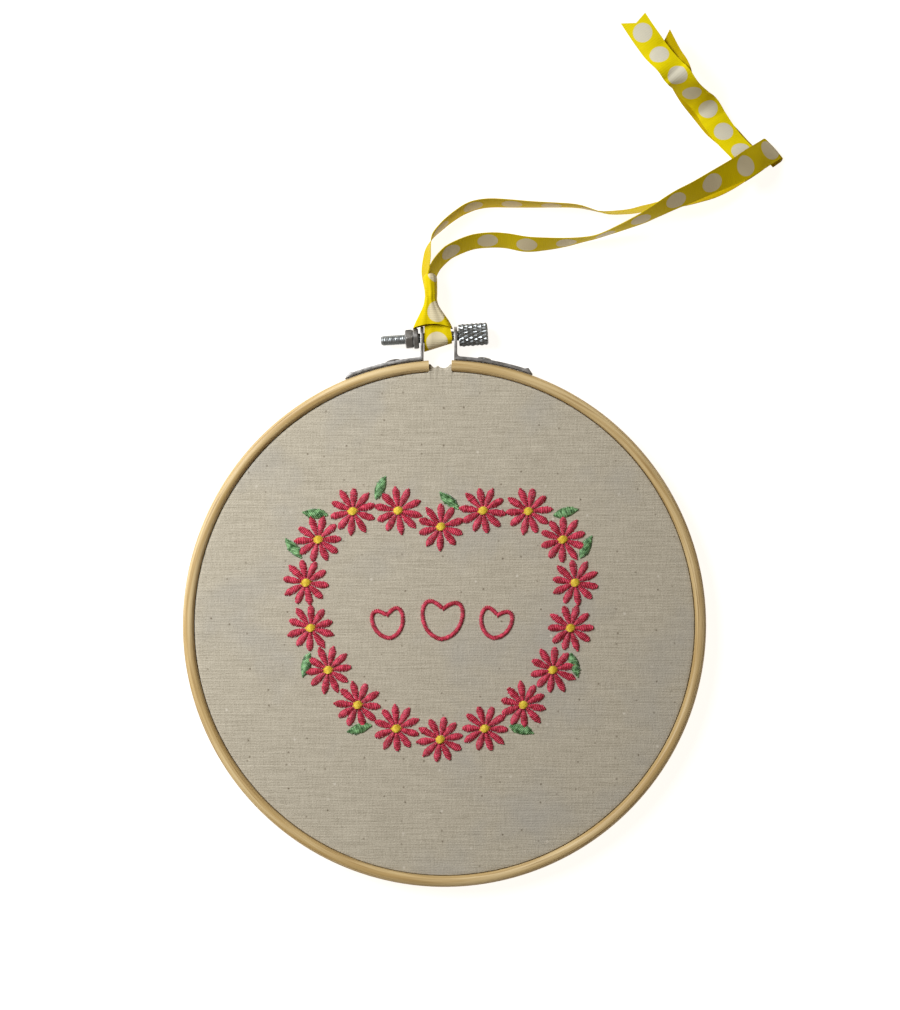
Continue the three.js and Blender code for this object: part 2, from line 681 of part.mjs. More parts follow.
// The turn round the screw, between the lugs
function hitch() {
  const { deep, across } = HITCH_BORE;
  const outline = new THREE.Shape();
  outline.absellipse(0, 0, deep + RIBBON_THICKNESS, across + RIBBON_THICKNESS, 0, 2 * Math.PI);
  const bore = new THREE.Path();
  bore.absellipse(0, 0, deep, across, 0, 2 * Math.PI);
  outline.holes.push(bore);
  const turn = new THREE.ExtrudeGeometry(outline, {
    depth: HITCH_WIDTH,
    bevelEnabled: false,
    curveSegments: 20,
  });
  turn.translate(0, 0, -HITCH_WIDTH / 2).rotateY(Math.PI / 2);
  return toSolid(turn.rotateZ(radians(SCREW_TILT)).translate(CLOSING_X, SCREW_Y, SCREW_Z));
}

// The gathered stretch where both strands come out of the hitch
function collar() {
  const waistY = (COLLAR_BASE.y + COLLAR_NECK.y) / 2;
  const waistLeft = THREE.MathUtils.lerp(COLLAR_NECK.left, COLLAR_BASE.left, COLLAR_WAIST);
  const waistRight = THREE.MathUtils.lerp(COLLAR_NECK.right, COLLAR_BASE.right, COLLAR_WAIST);
  const outline = new THREE.Shape();
  outline.moveTo(COLLAR_BASE.left, COLLAR_BASE.y);
  outline.lineTo(COLLAR_BASE.right, COLLAR_BASE.y);
  outline.quadraticCurveTo(waistRight, waistY, COLLAR_NECK.right, COLLAR_NECK.y);
  outline.lineTo(COLLAR_NECK.left, COLLAR_NECK.y);
  outline.quadraticCurveTo(waistLeft, waistY, COLLAR_BASE.left, COLLAR_BASE.y);
  return toSolid(new THREE.ExtrudeGeometry(outline, {
    depth: COLLAR_DEPTH,
    bevelSize: COLLAR_BEVEL,
    bevelThickness: COLLAR_BEVEL,
    bevelOffset: -COLLAR_BEVEL,
    bevelSegments: 1,
    curveSegments: 6,
  }).translate(0, 0, SCREW_Z - COLLAR_DEPTH / 2 + COLLAR_BEVEL));
}

// The knot: ribbon wound on itself to a flattened roll, under the end of the lower strand
function knot() {
  const outline = new THREE.Shape();
  const { halfLength, halfHeight, width } = KNOT;
  outline.absellipse(0, 0, halfLength, halfHeight, 0, 2 * Math.PI, false, radians(KNOT.slope));
  const roll = new THREE.ExtrudeGeometry(outline, { depth: width, bevelEnabled: false, curveSegments: 14 });
  roll.translate(0, 0, -width / 2).rotateX(Math.PI / 2).rotateZ(radians(KNOT.heading));
  return toSolid(roll.translate(KNOT.x, KNOT.y, KNOT.z));
}

function ribbonSolid() {
  return join([
    hitch(),
    collar(),
    ribbonLength(STRAND_UPPER),
    ribbonLength(STRAND_LOWER),
    knot(),
    tail(TAIL_FRONT),
    tail(TAIL_BACK),
  ]);
}

const closing = new THREE.Group();
closing.position.set(CLOSING_X, SCREW_Y, SCREW_Z);
closing.rotation.z = radians(SCREW_TILT);
closing.add(
  toMesh('screw', screwSolid(), zinc.clone()),
  toMesh('nut', nutSolid(), zinc.clone()),
);

const hoopWork = new THREE.Group();
hoopWork.add(
  toMesh('outer_hoop', outerHoop(), bamboo.clone()),
  toMesh('inner_hoop', innerHoop(), bamboo.clone()),
  toMesh('cloth', clothSolid(), calico),
  toMesh('bracket_left', bracket(-1), zinc.clone()),
  toMesh('bracket_right', bracket(1), zinc.clone()),
  toMesh('rivet_left', rivet(-1), zinc.clone()),
  toMesh('rivet_right', rivet(1), zinc.clone()),
  closing,
);

// The origin is under the middle of the hoop with its closing
const hardBox = new THREE.Box3().setFromObject(hoopWork);
hoopWork.add(toMesh('ribbon', ribbonSolid(), satin));
hoopWork.position.y = -(hardBox.min.y + hardBox.max.y) / 2;

const part = new THREE.Group();
part.add(hoopWork);

export default part;
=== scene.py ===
# %% [markdown]
# # An embroidered hoop
# A disc of calico is stretched over a bamboo ring, and a second, split ring is clamped round it
# with a screw. A garland of daisies is worked on the cloth in satin stitch, and a dotted ribbon is
# hitched round the screw to hang it by. The solids of these pieces come in first as a fixed frame.
# Everything in this lesson is built on them, in metres, where they already lie.

# %% The fixed frame
import math
import random
from functools import partial

import bpy
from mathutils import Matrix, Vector


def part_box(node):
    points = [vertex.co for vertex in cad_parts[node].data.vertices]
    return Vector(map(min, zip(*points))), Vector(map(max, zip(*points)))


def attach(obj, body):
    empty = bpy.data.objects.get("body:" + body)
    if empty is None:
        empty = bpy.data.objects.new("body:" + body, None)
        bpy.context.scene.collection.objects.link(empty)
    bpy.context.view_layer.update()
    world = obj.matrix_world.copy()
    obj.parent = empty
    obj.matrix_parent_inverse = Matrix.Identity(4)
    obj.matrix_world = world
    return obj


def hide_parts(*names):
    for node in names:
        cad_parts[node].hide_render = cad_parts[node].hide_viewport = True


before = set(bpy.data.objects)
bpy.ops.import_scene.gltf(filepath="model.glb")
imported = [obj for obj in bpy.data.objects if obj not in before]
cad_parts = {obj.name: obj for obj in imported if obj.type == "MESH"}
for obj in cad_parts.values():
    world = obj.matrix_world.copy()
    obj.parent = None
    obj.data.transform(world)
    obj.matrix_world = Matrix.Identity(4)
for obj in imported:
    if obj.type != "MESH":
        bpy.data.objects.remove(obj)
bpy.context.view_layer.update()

bpy.ops.object.select_all(action="DESELECT")
MM = 0.001
ring_low, ring_high = (Vector(corner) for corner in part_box("inner_hoop"))
# The rings are round below their middle, so it lies half their width above their lowest point
HOOP = Vector(((ring_low.x + ring_high.x) / 2, ring_low.y + (ring_high.x - ring_low.x) / 2, 0))
print("hoop centre", HOOP.x, HOOP.y)


def place(x, y, z):
    """Millimetres from the hoop's centre, and above the floor, as metres in the frame."""
    return Vector((HOOP.x + x * MM, HOOP.y + y * MM, z * MM))


# %% [markdown]
# ## Camera, floor and light
# The hoop lies on its back and is seen from straight above, so the camera hangs over it and looks
# down with no turn at all. Its lens is worked out from the width of floor that the picture takes in.
# One broad lamp near the upper left lights the thread from the side, so that every stitch gets a
# bright and a dark flank, and a pale sky fills the shadows. The paper below glows, so it stays white.

# %% Camera
CAMERA_HEIGHT = 0.9
FACE_HEIGHT = 0.008
PICTURE_WIDTH = 0.34695
PICTURE_MIDDLE = (2.12, 46.4)  # from the hoop's centre, in millimetres
camera = bpy.data.objects.new("camera", bpy.data.cameras.new("camera"))
bpy.context.collection.objects.link(camera)
camera.data.sensor_fit = "HORIZONTAL"
camera.data.lens = camera.data.sensor_width * CAMERA_HEIGHT / PICTURE_WIDTH
camera.location = place(*PICTURE_MIDDLE, 0) + Vector((0, 0, CAMERA_HEIGHT + FACE_HEIGHT))
bpy.context.scene.camera = camera
bpy.context.scene.view_settings.view_transform = "Standard"
print("lens", round(camera.data.lens, 1), "mm")


# %% Colour and node helpers
def to_linear(colour):
    """An sRGB hex value as the linear colour that a socket takes."""
    channels = [int(colour[i:i + 2], 16) / 255 for i in (1, 3, 5)]
    return [c / 12.92 if c <= 0.04045 else ((c + 0.055) / 1.055) ** 2.4 for c in channels] + [1.0]


def set_sockets(node, sockets):
    """Gives each socket a value, or a link from an output or from a node's first live output."""
    for name, value in sockets.items():
        if isinstance(value, bpy.types.Node):
            value = next(output for output in value.outputs if output.enabled)
        if isinstance(value, bpy.types.NodeSocket):
            node.id_data.links.new(value, node.inputs[name])
        else:
            node.inputs[name].default_value = value


def add_node(tree, kind, sockets=None, **settings):
    """Adds one shader node with its settings, values and links."""
    made = tree.nodes.new("ShaderNode" + kind)
    for name, value in settings.items():
        setattr(made, name, value)
    set_sockets(made, sockets or {})
    return made


def start_finish(name, **constants):
    """A new material with its shader's constant sockets set, and a way to add its nodes."""
    finish = bpy.data.materials.new(name)
    finish.use_nodes = True
    shader = finish.node_tree.nodes["Principled BSDF"]
    set_sockets(shader, {socket.replace("_", " "): value for socket, value in constants.items()})
    return finish, partial(add_node, finish.node_tree), shader


# %% Floor and lamps
FLOOR_SIZE = 12
FLOOR_GLOW = 0.98
LAMP_SIZE = 0.5
LAMP_POWER = 10.3
LAMP_PLACE = (-500, 360, 560)
LAMP_AIM = (-470, 120, 0)
SKY_STRENGTH = 0.14
bpy.ops.mesh.primitive_grid_add(x_subdivisions=8, y_subdivisions=8, size=FLOOR_SIZE)
floor = bpy.context.active_object
floor.name = "floor"
paper, _, shader = start_finish("white paper, matt", Roughness=0.9, Specular_IOR_Level=0.1)
set_sockets(shader, {"Base Color": to_linear("#8a8a89"), "Emission Color": to_linear("#fffaf4"),
                     "Emission Strength": FLOOR_GLOW})
floor.data.materials.append(paper)

lamp = bpy.data.objects.new("window_lamp", bpy.data.lights.new("window_lamp", "AREA"))
bpy.context.collection.objects.link(lamp)
lamp.data.shape = "DISK"
lamp.data.size = LAMP_SIZE
lamp.data.energy = LAMP_POWER
lamp.data.color = to_linear("#f6f9ff")[:3]
lamp.location = place(*LAMP_PLACE)
lamp.rotation_euler = (place(*LAMP_AIM) - lamp.location).to_track_quat("-Z", "Y").to_euler()

sky = bpy.data.worlds.new("sky")
sky.use_nodes = True
set_sockets(sky.node_tree.nodes["Background"], {
    "Color": to_linear("#ffe9cc"), "Strength": SKY_STRENGTH})
bpy.context.scene.world = sky
print("floor, lamp and sky set")

# %% [markdown]
# ## Ribbon: its way
# The ribbon is one length of grosgrain, 10 mm wide. Its two strands run from the hitch to a knot,
# and two cut ends lie beyond it. A ribbon bends easily one way only, so each strand stands partly on
# its edge where it curves. A row of the tables is a point of its way: where it is, how far it leans
# from lying flat, and how high it lies on what is below. A smooth curve through the rows carries
# all four values at once.

# %% Ribbon rows: x, y, lean in degrees, lift
RIBBON_WIDTH = 10.0
RIBBON_THICKNESS = 0.22
RIBBON_REST = 0.45
ROW_STEPS = 8
STRAND_UPPER = [
    (-6.8, 126.4, 92, 0), (-7.3, 132.0, 99, 0), (-7.4, 137.0, 107, 0), (-6.8, 142.1, 107, 0),
    (-6.2, 146.0, 101, 0), (-4.5, 150.4, 87, 0), (-1.1, 154.1, 81, 0), (2.1, 156.9, 79, 0),
    (5.9, 159.6, 77, 0), (9.2, 161.4, 75, 0), (12.9, 162.6, 76, 0), (18.1, 163.2, 77.5, 0),
    (25.3, 163.0, 80, 0), (33.8, 162.6, 84, 0), (42.2, 162.4, 87, 0), (48.3, 162.2, 89, 0),
    (52.6, 161.7, 91, 0), (56.2, 160.8, 94, 0), (60.1, 159.9, 99, 0), (64.0, 159.4, 104, 0),
    (71.7, 159.9, 107, 0), (77.0, 161.0, 110, 0), (82.1, 161.9, 114, 0), (89.9, 163.7, 121, 0),
    (94.8, 165.3, 129, 0), (99.0, 167.2, 140, 0), (103.7, 169.4, 150, 0), (108.6, 172.3, 160, 0),
    (113.3, 175.5, 168, 0), (115.6, 177.2, 171, 0), (118.2, 179.0, 173, 0), (120.4, 180.5, 174, 0),
]
STRAND_LOWER = [
    (-5.4, 126.4, 70, 0), (-5.4, 131.0, 70, 0), (-4.9, 135.2, 70, 0), (-3.4, 138.8, 68, 0),
    (-0.6, 142.2, 65, 0), (2.8, 144.9, 63, 0), (10.4, 148.0, 62, 0), (17.6, 148.9, 61, 0),
    (24.1, 148.6, 62, 0), (31.7, 147.3, 61, 0), (39.5, 147.4, 68, 0), (47.1, 148.0, 77, 0.1),
    (53.7, 149.0, 85, 0.3), (59.0, 150.1, 87, 0.8), (65.5, 152.3, 83, 2.2), (70.5, 154.1, 78, 4.6),
    (76.1, 156.4, 71, 7.4), (81.5, 159.2, 64, 9.6), (89.0, 163.2, 54, 11.5),
    (95.7, 166.3, 49, 12.0), (102.4, 169.7, 41, 12.1), (108.0, 172.5, 31, 12.2),
    (113.0, 175.1, 19, 11.9), (116.1, 177.0, 11, 11.0), (119.4, 179.3, 6, 8.9),
    (122.7, 181.6, 6, 5.9), (125.9, 183.8, 6, 3.0), (127.2, 184.7, 6, 2.1),
]
TAIL_FRONT = [
    (120.4, 176.6, 0, 4.0), (117.6, 179.4, 6, 6.4), (115.6, 181.3, 14, 6.6),
    (113.9, 183.1, 18, 6.0), (110.6, 187.2, 15, 3.6), (107.5, 191.6, 8, 2.4),
    (104.4, 196.4, 0, 2.1), (101.6, 200.7, -20, 1.2),
    (98.2, 203.3, -42, 2.8), (94.8, 205.4, -46, 6.5), (91.8, 207.6, -40, 11.1),
    (88.8, 210.4, -10, 16.1), (85.6, 214.2, 14, 15.4), (82.4, 218.3, 8, 13.6),
    (79.1, 223.0, -6, 12.2), (75.9, 227.6, -12, 11.5), (72.8, 232.3, -14, 11.3),
]
TAIL_BACK = [
    (118.8, 178.6, 180, 4.0), (113.8, 184.3, 194, 3.5), (109.6, 189.4, 188, 1.4),
    (105.2, 193.8, 180, 0.9), (100.0, 200.2, 165, 0.2), (94.0, 205.4, 138, 4.8),
    (90.8, 209.2, 145, 10.4), (88.5, 214.1, 180, 15.2), (85.9, 219.3, 186, 11.9),
    (82.1, 227.1, 182, 10.4),
]


def smooth_rows(rows, per_span):
    """Close points on a smooth curve through the rows, in all their columns."""
    points = []
    for i in range(len(rows) - 1):
        spans = rows[max(i - 1, 0)], rows[i], rows[i + 1], rows[min(i + 2, len(rows) - 1)]
        for step in range(per_span):
            t = step / per_span
            points.append([
                0.5 * (2 * b + (c - a) * t + (2 * a - 5 * b + 4 * c - d) * t ** 2
                       + (3 * b - a - 3 * c + d) * t ** 3)
                for a, b, c, d in zip(*spans)])
    return points + [list(rows[-1])]


def ribbon_way(rows):
    """Centre, across and upward directions, and distance run, at close points of a ribbon."""
    points = smooth_rows(rows, ROW_STEPS)
    centres = [
        Vector((x, y, RIBBON_REST + lift + RIBBON_WIDTH / 2 * abs(math.sin(math.radians(lean)))))
        for x, y, lean, lift in points]
    way = []
    run = 0.0
    for i, centre in enumerate(centres):
        heading = (centres[min(i + 1, len(centres) - 1)] - centres[max(i - 1, 0)]).normalized()
        level = Vector((-heading.y, heading.x, 0)).normalized()
        turn = math.radians(points[i][2])
        across = level * math.cos(turn) + heading.cross(level) * math.sin(turn)
        run += (centre - centres[max(i - 1, 0)]).length
        way.append((centre, across, heading.cross(across), run))
    return way


ways = {rows_name: ribbon_way(rows) for rows_name, rows in (
    ("upper", STRAND_UPPER), ("lower", STRAND_LOWER), ("front", TAIL_FRONT), ("back", TAIL_BACK))}
print({name: round(way[-1][3], 1) for name, way in ways.items()}, "mm of ribbon")

# %% [markdown]
# ## Ribbon: grosgrain with printed dots
# Polyester grosgrain is nearly matt, with fine ribs across its width and a firmer edge.
# Cream dots are printed on one face only, so the other face is plain and a little deeper in colour.
# The dots are drawn from the ribbon's own UV map, whose unit is the ribbon's width, so they follow
# every turn. The dots on the cut ends are smaller and stand closer together. The copy on the strands,
# knot and hitch is a little darker and more golden than the ends', with warmer dots: painted shade.

# %% Ribbon finishes
STRAND_DOTS = {"pitch": 15.3, "radius": 4.0}
END_DOTS = {"pitch": 11.2, "radius": 3.7}
DOT_EDGE = 0.012
RIB_PITCH = 0.8  # the real ribs are about 0.3 mm apart; they are coarsened so that they show
SELVEDGE = (0.43, 0.47)  # where the edge rises, in widths from the middle


def ribbon_finish(name, ground, shade, ink=None, dots=STRAND_DOTS):
    """Ribbed weave in one ground colour, with dots printed on it where there is an ink."""
    finish, add, shader = start_finish(name, Roughness=0.5, Specular_IOR_Level=0.03)
    uv = add("UVMap")
    parts = add("SeparateXYZ", {0: uv})
    cloud = add("TexNoise", {"Vector": uv, "Scale": 1.3, "Detail": 3.0})
    colour = add("Mix", {0: cloud, 6: to_linear(ground), 7: to_linear(shade)}, data_type="RGBA")
    if ink:
        half_pitch, radius = dots["pitch"] / 2 / RIBBON_WIDTH, dots["radius"] / RIBBON_WIDTH
        along = add("Math", {0: parts.outputs[0], 1: half_pitch, 2: -half_pitch}, operation="WRAP")
        flat = add("CombineXYZ", {0: along, 1: parts.outputs[1]})
        reach = add("VectorMath", {0: flat}, operation="LENGTH")
        edge = add("MapRange", {
            0: reach, 1: radius - DOT_EDGE, 2: radius + DOT_EDGE, 3: 1.0, 4: 0.0})
        colour = add("Mix", {0: edge, 6: colour, 7: to_linear(ink)}, data_type="RGBA")
    ribs = add("Math", {
        0: parts.outputs[0], 1: 2 * math.pi * RIBBON_WIDTH / RIB_PITCH}, operation="MULTIPLY")
    wave = add("Math", {0: ribs}, operation="SINE")
    offset = add("Math", {0: parts.outputs[1]}, operation="ABSOLUTE")
    selvedge = add("MapRange", {0: offset, 1: SELVEDGE[0], 2: SELVEDGE[1], 3: 0.0, 4: 2.0})
    height = add("Math", {0: wave, 1: selvedge}, operation="ADD")
    bump = add("Bump", {"Height": height, "Strength": 0.25, "Distance": 0.00008})
    set_sockets(shader, {"Base Color": colour, "Normal": bump})
    return finish


# A little darker and more golden than the ends' copy, with warmer dots: painted shade on the strands,
# knot and hitch
dotted_ribbon_painted_shade = ribbon_finish(
    "polyester grosgrain, woven and dot-printed", "#dfc80a", "#d0b506", "#d8cba6")
dotted_end = ribbon_finish(
    "polyester grosgrain, woven and dot-printed, ends", "#ead70c", "#dbc606", "#d3cdb6", END_DOTS)
plain_ribbon = ribbon_finish("polyester grosgrain, woven, back", "#cfb60a", "#c2a606")
print(dotted_ribbon_painted_shade.name, "and", plain_ribbon.name)

# %% [markdown]
# ## Ribbon: four lengths
# A flat grid is the ribbon as it comes off the reel. Each of its vertices is then carried to the
# ribbon's way, with a slight camber across, because ribbon curls a little. The cut ends get a
# swallowtail by drawing the middle of the last rows back. Solidify gives the weave its thickness
# and puts the plain finish on the back. Inside the knot the ribbon is wound on itself: a flattened
# roll under the lower strand, which the other lengths run into.


# %% Starting and editing a mesh
WELD = 0.000001


def start_piece(name, primitive, **settings):
    """A new primitive as the start of a piece, alone in the selection."""
    bpy.ops.object.select_all(action="DESELECT")
    primitive(**settings)
    piece = bpy.context.active_object
    piece.name = piece.data.name = name
    return piece


def start_grid(name, columns, rows):
    """A flat grid from -1 to 1 both ways."""
    return start_piece(
        name, bpy.ops.mesh.primitive_grid_add, x_subdivisions=columns, y_subdivisions=rows, size=2)


def edit_all(*steps):
    """Runs edit-mode steps, an operator and its settings each, on all of the active piece."""
    bpy.ops.object.mode_set(mode="EDIT")
    for operator, settings in steps:
        bpy.ops.mesh.select_all(action="SELECT")
        operator(**settings)
    bpy.ops.object.mode_set(mode="OBJECT")


# %% Laying a length of ribbon
RIBBON_COLUMNS = 8
END_LENGTH = 8.0  # the stretch that a swallowtail or a skewed fold shapes


def lay_ribbon(name, way, camber, finish, dot_at, notch=0.0, skew=0.0):
    """A ribbon along its way, with a dot at dot_at. notch and skew shape its cut end."""
    piece = start_grid(name, len(way) - 1, RIBBON_COLUMNS)
    total = way[-1][3]
    spots = []
    for vertex in piece.data.vertices:
        side = vertex.co.y
        run = (vertex.co.x + 1) / 2 * total
        ending = max(0.0, run - total + END_LENGTH) / END_LENGTH
        run -= (notch * (1 - abs(side)) + skew * (1 + side)) * ending
        later = next((i for i in range(1, len(way)) if way[i][3] >= run - 1e-6), len(way) - 1)
        first, second = way[later - 1], way[later]
        share = (run - first[3]) / (second[3] - first[3])
        centre, across, up = (first[i].lerp(second[i], share) for i in range(3))
        spot = centre + across * side * RIBBON_WIDTH / 2
        spot += up.normalized() * camber * (1 - side * side)
        vertex.co = place(*spot)
        spots.append(((run - dot_at) / RIBBON_WIDTH, side / 2))
    finish_ribbon(piece, spots, finish)
    return piece


def finish_ribbon(piece, spots, finish):
    """UV map, thickness, both faces' finishes and body for one piece of ribbon."""
    for loop in piece.data.loops:
        piece.data.uv_layers[0].data[loop.index].uv = spots[loop.vertex_index]
    piece.data.materials.append(finish)
    piece.data.materials.append(plain_ribbon)
    edit_all((bpy.ops.mesh.remove_doubles, {"threshold": WELD}))
    wall = piece.modifiers.new("weave", "SOLIDIFY")
    wall.thickness = RIBBON_THICKNESS * MM
    wall.offset = 0.0
    wall.material_offset = 1
    bpy.ops.object.modifier_apply(modifier=wall.name)
    bpy.ops.object.shade_smooth_by_angle(angle=math.radians(50))
    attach(piece, "root")
    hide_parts("ribbon")
    print(piece.name, len(piece.data.polygons), "faces")


# %% Folded end and knot roll
FOLD_STEPS = 8
ROLL_STEPS = 28
ROLL_TIGHTENING = 0.55


def fold_under(way, radius, back, skew, drift):
    """The way with a skewed fold at its end and a level stretch that runs back under it."""
    turned = []
    for centre, across, up, run in way:
        share = max(0.0, run - way[-1][3] + END_LENGTH) / END_LENGTH
        turned.append((centre, across - across.cross(up) * skew * share, up, run))
    centre, across, up, run = turned[-1]
    onward = way[-1][1].cross(up)
    arc = math.pi - math.asin(-onward.z)
    for step in range(1, FOLD_STEPS + 1):
        turn = arc * step / FOLD_STEPS
        spot = centre + onward * radius * math.sin(turn) - up * radius * (1 - math.cos(turn))
        normal = up * math.cos(turn) + onward * math.sin(turn)
        aside = way[-1][1] * drift * step / FOLD_STEPS
        turned.append((spot - aside, across, normal, run + radius * turn))
    spot, across, normal, run = turned[-1]
    homeward = Vector((-onward.x, -onward.y, 0)).normalized()
    for step in range(1, 5):
        turned.append((spot + homeward * back * step / 4, across, normal, run + back * step / 4))
    return turned


def rolled_way(middle, heading, slope, half_length, half_height, turns):
    """A flattened spiral about a level axis across the heading, from the outside inwards."""
    level = math.cos(slope)
    along = Vector((math.cos(heading) * level, math.sin(heading) * level, math.sin(slope)))
    across = Vector((-math.sin(heading), math.cos(heading), 0))
    rise = along.cross(across)
    count = int(ROLL_STEPS * turns)
    spots = []
    for step in range(count + 1):
        turn = 2 * math.pi * step / ROLL_STEPS
        size = 1 - ROLL_TIGHTENING * step / count
        oval = along * half_length * math.cos(turn) + rise * half_height * math.sin(turn)
        spots.append(middle + oval * size)
    way = []
    run = 0.0
    for i, spot in enumerate(spots):
        onward = (spots[min(i + 1, count)] - spots[max(i - 1, 0)]).normalized()
        run += (spot - spots[max(i - 1, 0)]).length
        way.append((spot, across, onward.cross(across), run))
    return way


folded = fold_under(ways["lower"], radius=0.9, back=4.0, skew=0.25, drift=1.3)
rolled = rolled_way(
    Vector((117.3, 178.1, 5.3)), heading=math.radians(34), slope=math.radians(-24),
    half_length=6.2, half_height=4.2, turns=2.3)
strand_upper = lay_ribbon("ribbon_strand_upper", ways["upper"], 0.25, dotted_ribbon_painted_shade, dot_at=44.0)
strand_lower = lay_ribbon("ribbon_strand_lower", folded, 0.25, dotted_ribbon_painted_shade, dot_at=127.9)
tail_front = lay_ribbon(
    "ribbon_tail_front", ways["front"], 0.3, dotted_end, dot_at=43.4, notch=2.3, skew=-1.0)
tail_back = lay_ribbon("ribbon_tail_back", ways["back"], -0.2, dotted_end, dot_at=20.0, notch=4.0)
knot_roll = lay_ribbon("ribbon_knot_roll", rolled, 0.0, dotted_ribbon_painted_shade, dot_at=20.0)

# %% [markdown]
# ## Ribbon: the hitch
# The middle of the ribbon goes round the screw and both strands are drawn through it. What shows is
# a turn over the screw, a little aslant, and above it a pleated cone that narrows to a neck. The
# turn is a grid rolled round the screw. The cone is a tube of rings whose sizes come from a short
# table, pleated along its length, with its lower edge arched between the lugs. Both are flat grids
# at first, whose vertices are carried to their places.

# %% Turn round the screw
SCREW_Y = 111.4
SCREW_Z = 4.5
TURN_LEFT = -7.85
TURN_RIGHT = 2.9
TURN_MIDDLE = -2.3
TURN_SLANT = 0.07
TURN_DEPTH = 3.3
TURN_BELOW = (5.3, 2.6)  # its reach below the screw at the left, and how much less at the right
CURLED = 0.62  # the share of its length that curls round the screw; the rest runs up into the cone
CURL_DROP = 0.6  # the curl's middle lies this far below the screw's
RUN_UP = 6.0
TURN_DOT = (0.46, 109.2)  # a dot's place: share across, and y


def hitch_turn():
    """A grid curled round the screw, wider and lower at its left, with one crease."""
    piece = start_grid("ribbon_hitch_turn", columns=40, rows=14)
    spots = []
    for vertex in piece.data.vertices:
        side = (1 - vertex.co.y) / 2
        x = TURN_LEFT + (TURN_RIGHT - TURN_LEFT) * side
        below = TURN_BELOW[0] - TURN_BELOW[1] * side
        crease = 0.35 * math.exp(-((side - 0.52) / 0.09) ** 2) + 0.12 * math.sin(side * 21)
        deep = TURN_DEPTH - crease
        if abs(vertex.co.x) < CURLED:
            curl = vertex.co.x / CURLED * math.pi / 2
            y = SCREW_Y - CURL_DROP - (below - CURL_DROP) * math.cos(curl)
            z = SCREW_Z + deep * math.sin(curl)
        else:
            upper = (abs(vertex.co.x) - CURLED) / (1 - CURLED)
            x += (TURN_MIDDLE - x) * (0.02 + 0.18 * side) * upper
            y = SCREW_Y - CURL_DROP + upper * RUN_UP
            z = SCREW_Z + math.copysign(deep - 0.9 * upper, vertex.co.x)
        y += TURN_SLANT * (x - TURN_MIDDLE)
        vertex.co = place(x, y, z)
        spots.append(((y - TURN_DOT[1]) / RIBBON_WIDTH, (side - TURN_DOT[0]) * 1.04))
    finish_ribbon(piece, spots, dotted_ribbon_painted_shade)
    return piece


turn_piece = hitch_turn()

# %% Pleated cone
# along from base to neck: y, middle x, half width, half depth
CONE = [
    (114.6, -4.5, 7.6, 4.2), (117.4, -4.6, 6.3, 4.3), (120.4, -4.9, 4.5, 4.4),
    (123.4, -5.2, 2.9, 5.0), (126.0, -5.3, 2.3, 5.75), (127.6, -5.2, 2.3, 5.9),
    (131.0, -5.35, 2.45, 5.95), (133.4, -5.5, 2.55, 5.9), (134.6, -5.55, 2.4, 5.7),
    (135.5, -5.6, 1.5, 4.6), (136.0, -5.7, 0.0, 0.0),
]
CONE_ROUND = 56
CONE_ARCH = 1.6
CONE_DOT = (-2.7, 120.9)
PLEATS = 9
PLEAT_DEPTH = 0.045


def pleated_cone():
    """A flattened, pleated tube through the table's rings, closed to a point at its neck."""
    rings = smooth_rows(CONE, per_span=4)
    piece = start_grid("ribbon_hitch_cone", CONE_ROUND, len(rings) - 1)
    spots = []
    for vertex in piece.data.vertices:
        turn = vertex.co.x * math.pi
        share = (vertex.co.y + 1) / 2
        y, middle, wide, deep = rings[round(share * (len(rings) - 1))]
        pleat = 1 + PLEAT_DEPTH * math.sin(PLEATS * turn + 3 * share) * (1 - share)
        across, up = math.sin(turn), math.cos(turn)
        round_up = math.copysign(abs(up) ** (0.35 + 0.35 * share), up)
        arch = CONE_ARCH * (1 - across * across) * (1 - share) ** 2
        x = middle + wide * across
        vertex.co = place(x, y + arch, max(0.15, SCREW_Z + 0.4 + deep * pleat * round_up))
        down_side = math.copysign(deep * (1 - round_up), across)
        spots.append((
            (y + arch - CONE_DOT[1]) / RIBBON_WIDTH, -(x - CONE_DOT[0] + down_side) / RIBBON_WIDTH))
    finish_ribbon(piece, spots, dotted_ribbon_painted_shade)
    return piece


cone_piece = pleated_cone()

# %% Lengths of the ribbon's free pieces
for piece, way, far_end, others in (
        (strand_lower, ways["lower"], "knot", [turn_piece, cone_piece, knot_roll]),
        (strand_upper, ways["upper"], "knot", []),
        (tail_front, ways["front"], "bare", []),
        (tail_back, ways["back"], "bare", [])):
    print(piece.name, round(way[-1][3]), "mm")

# %% [markdown]
# ## Bamboo rings
# Both rings are split bamboo, steamed and bent. The outer one is open at the top, where the screw
# draws its ends together. A flat plane is one cross-section of the strip: its corners are rounded by
# a vertex bevel, and Spin then sweeps it round the hoop's centre. The outer ring stops short of a
# full turn, which leaves the split; the inner ring goes all the way round and is merged. Clamped
# bamboo springs open towards its split, so the upper half of both is a little taller than round.

# %% Rings
RING_RADIUS = 101.0
RING_WALL = 4.3
RING_STEPS = 180
SPLIT_X = -1.7
SPLIT_WIDTH = 8.9
UPPER_STRETCH = 0.0135
FACE_OUT = (bpy.ops.mesh.normals_make_consistent, {"inside": False})


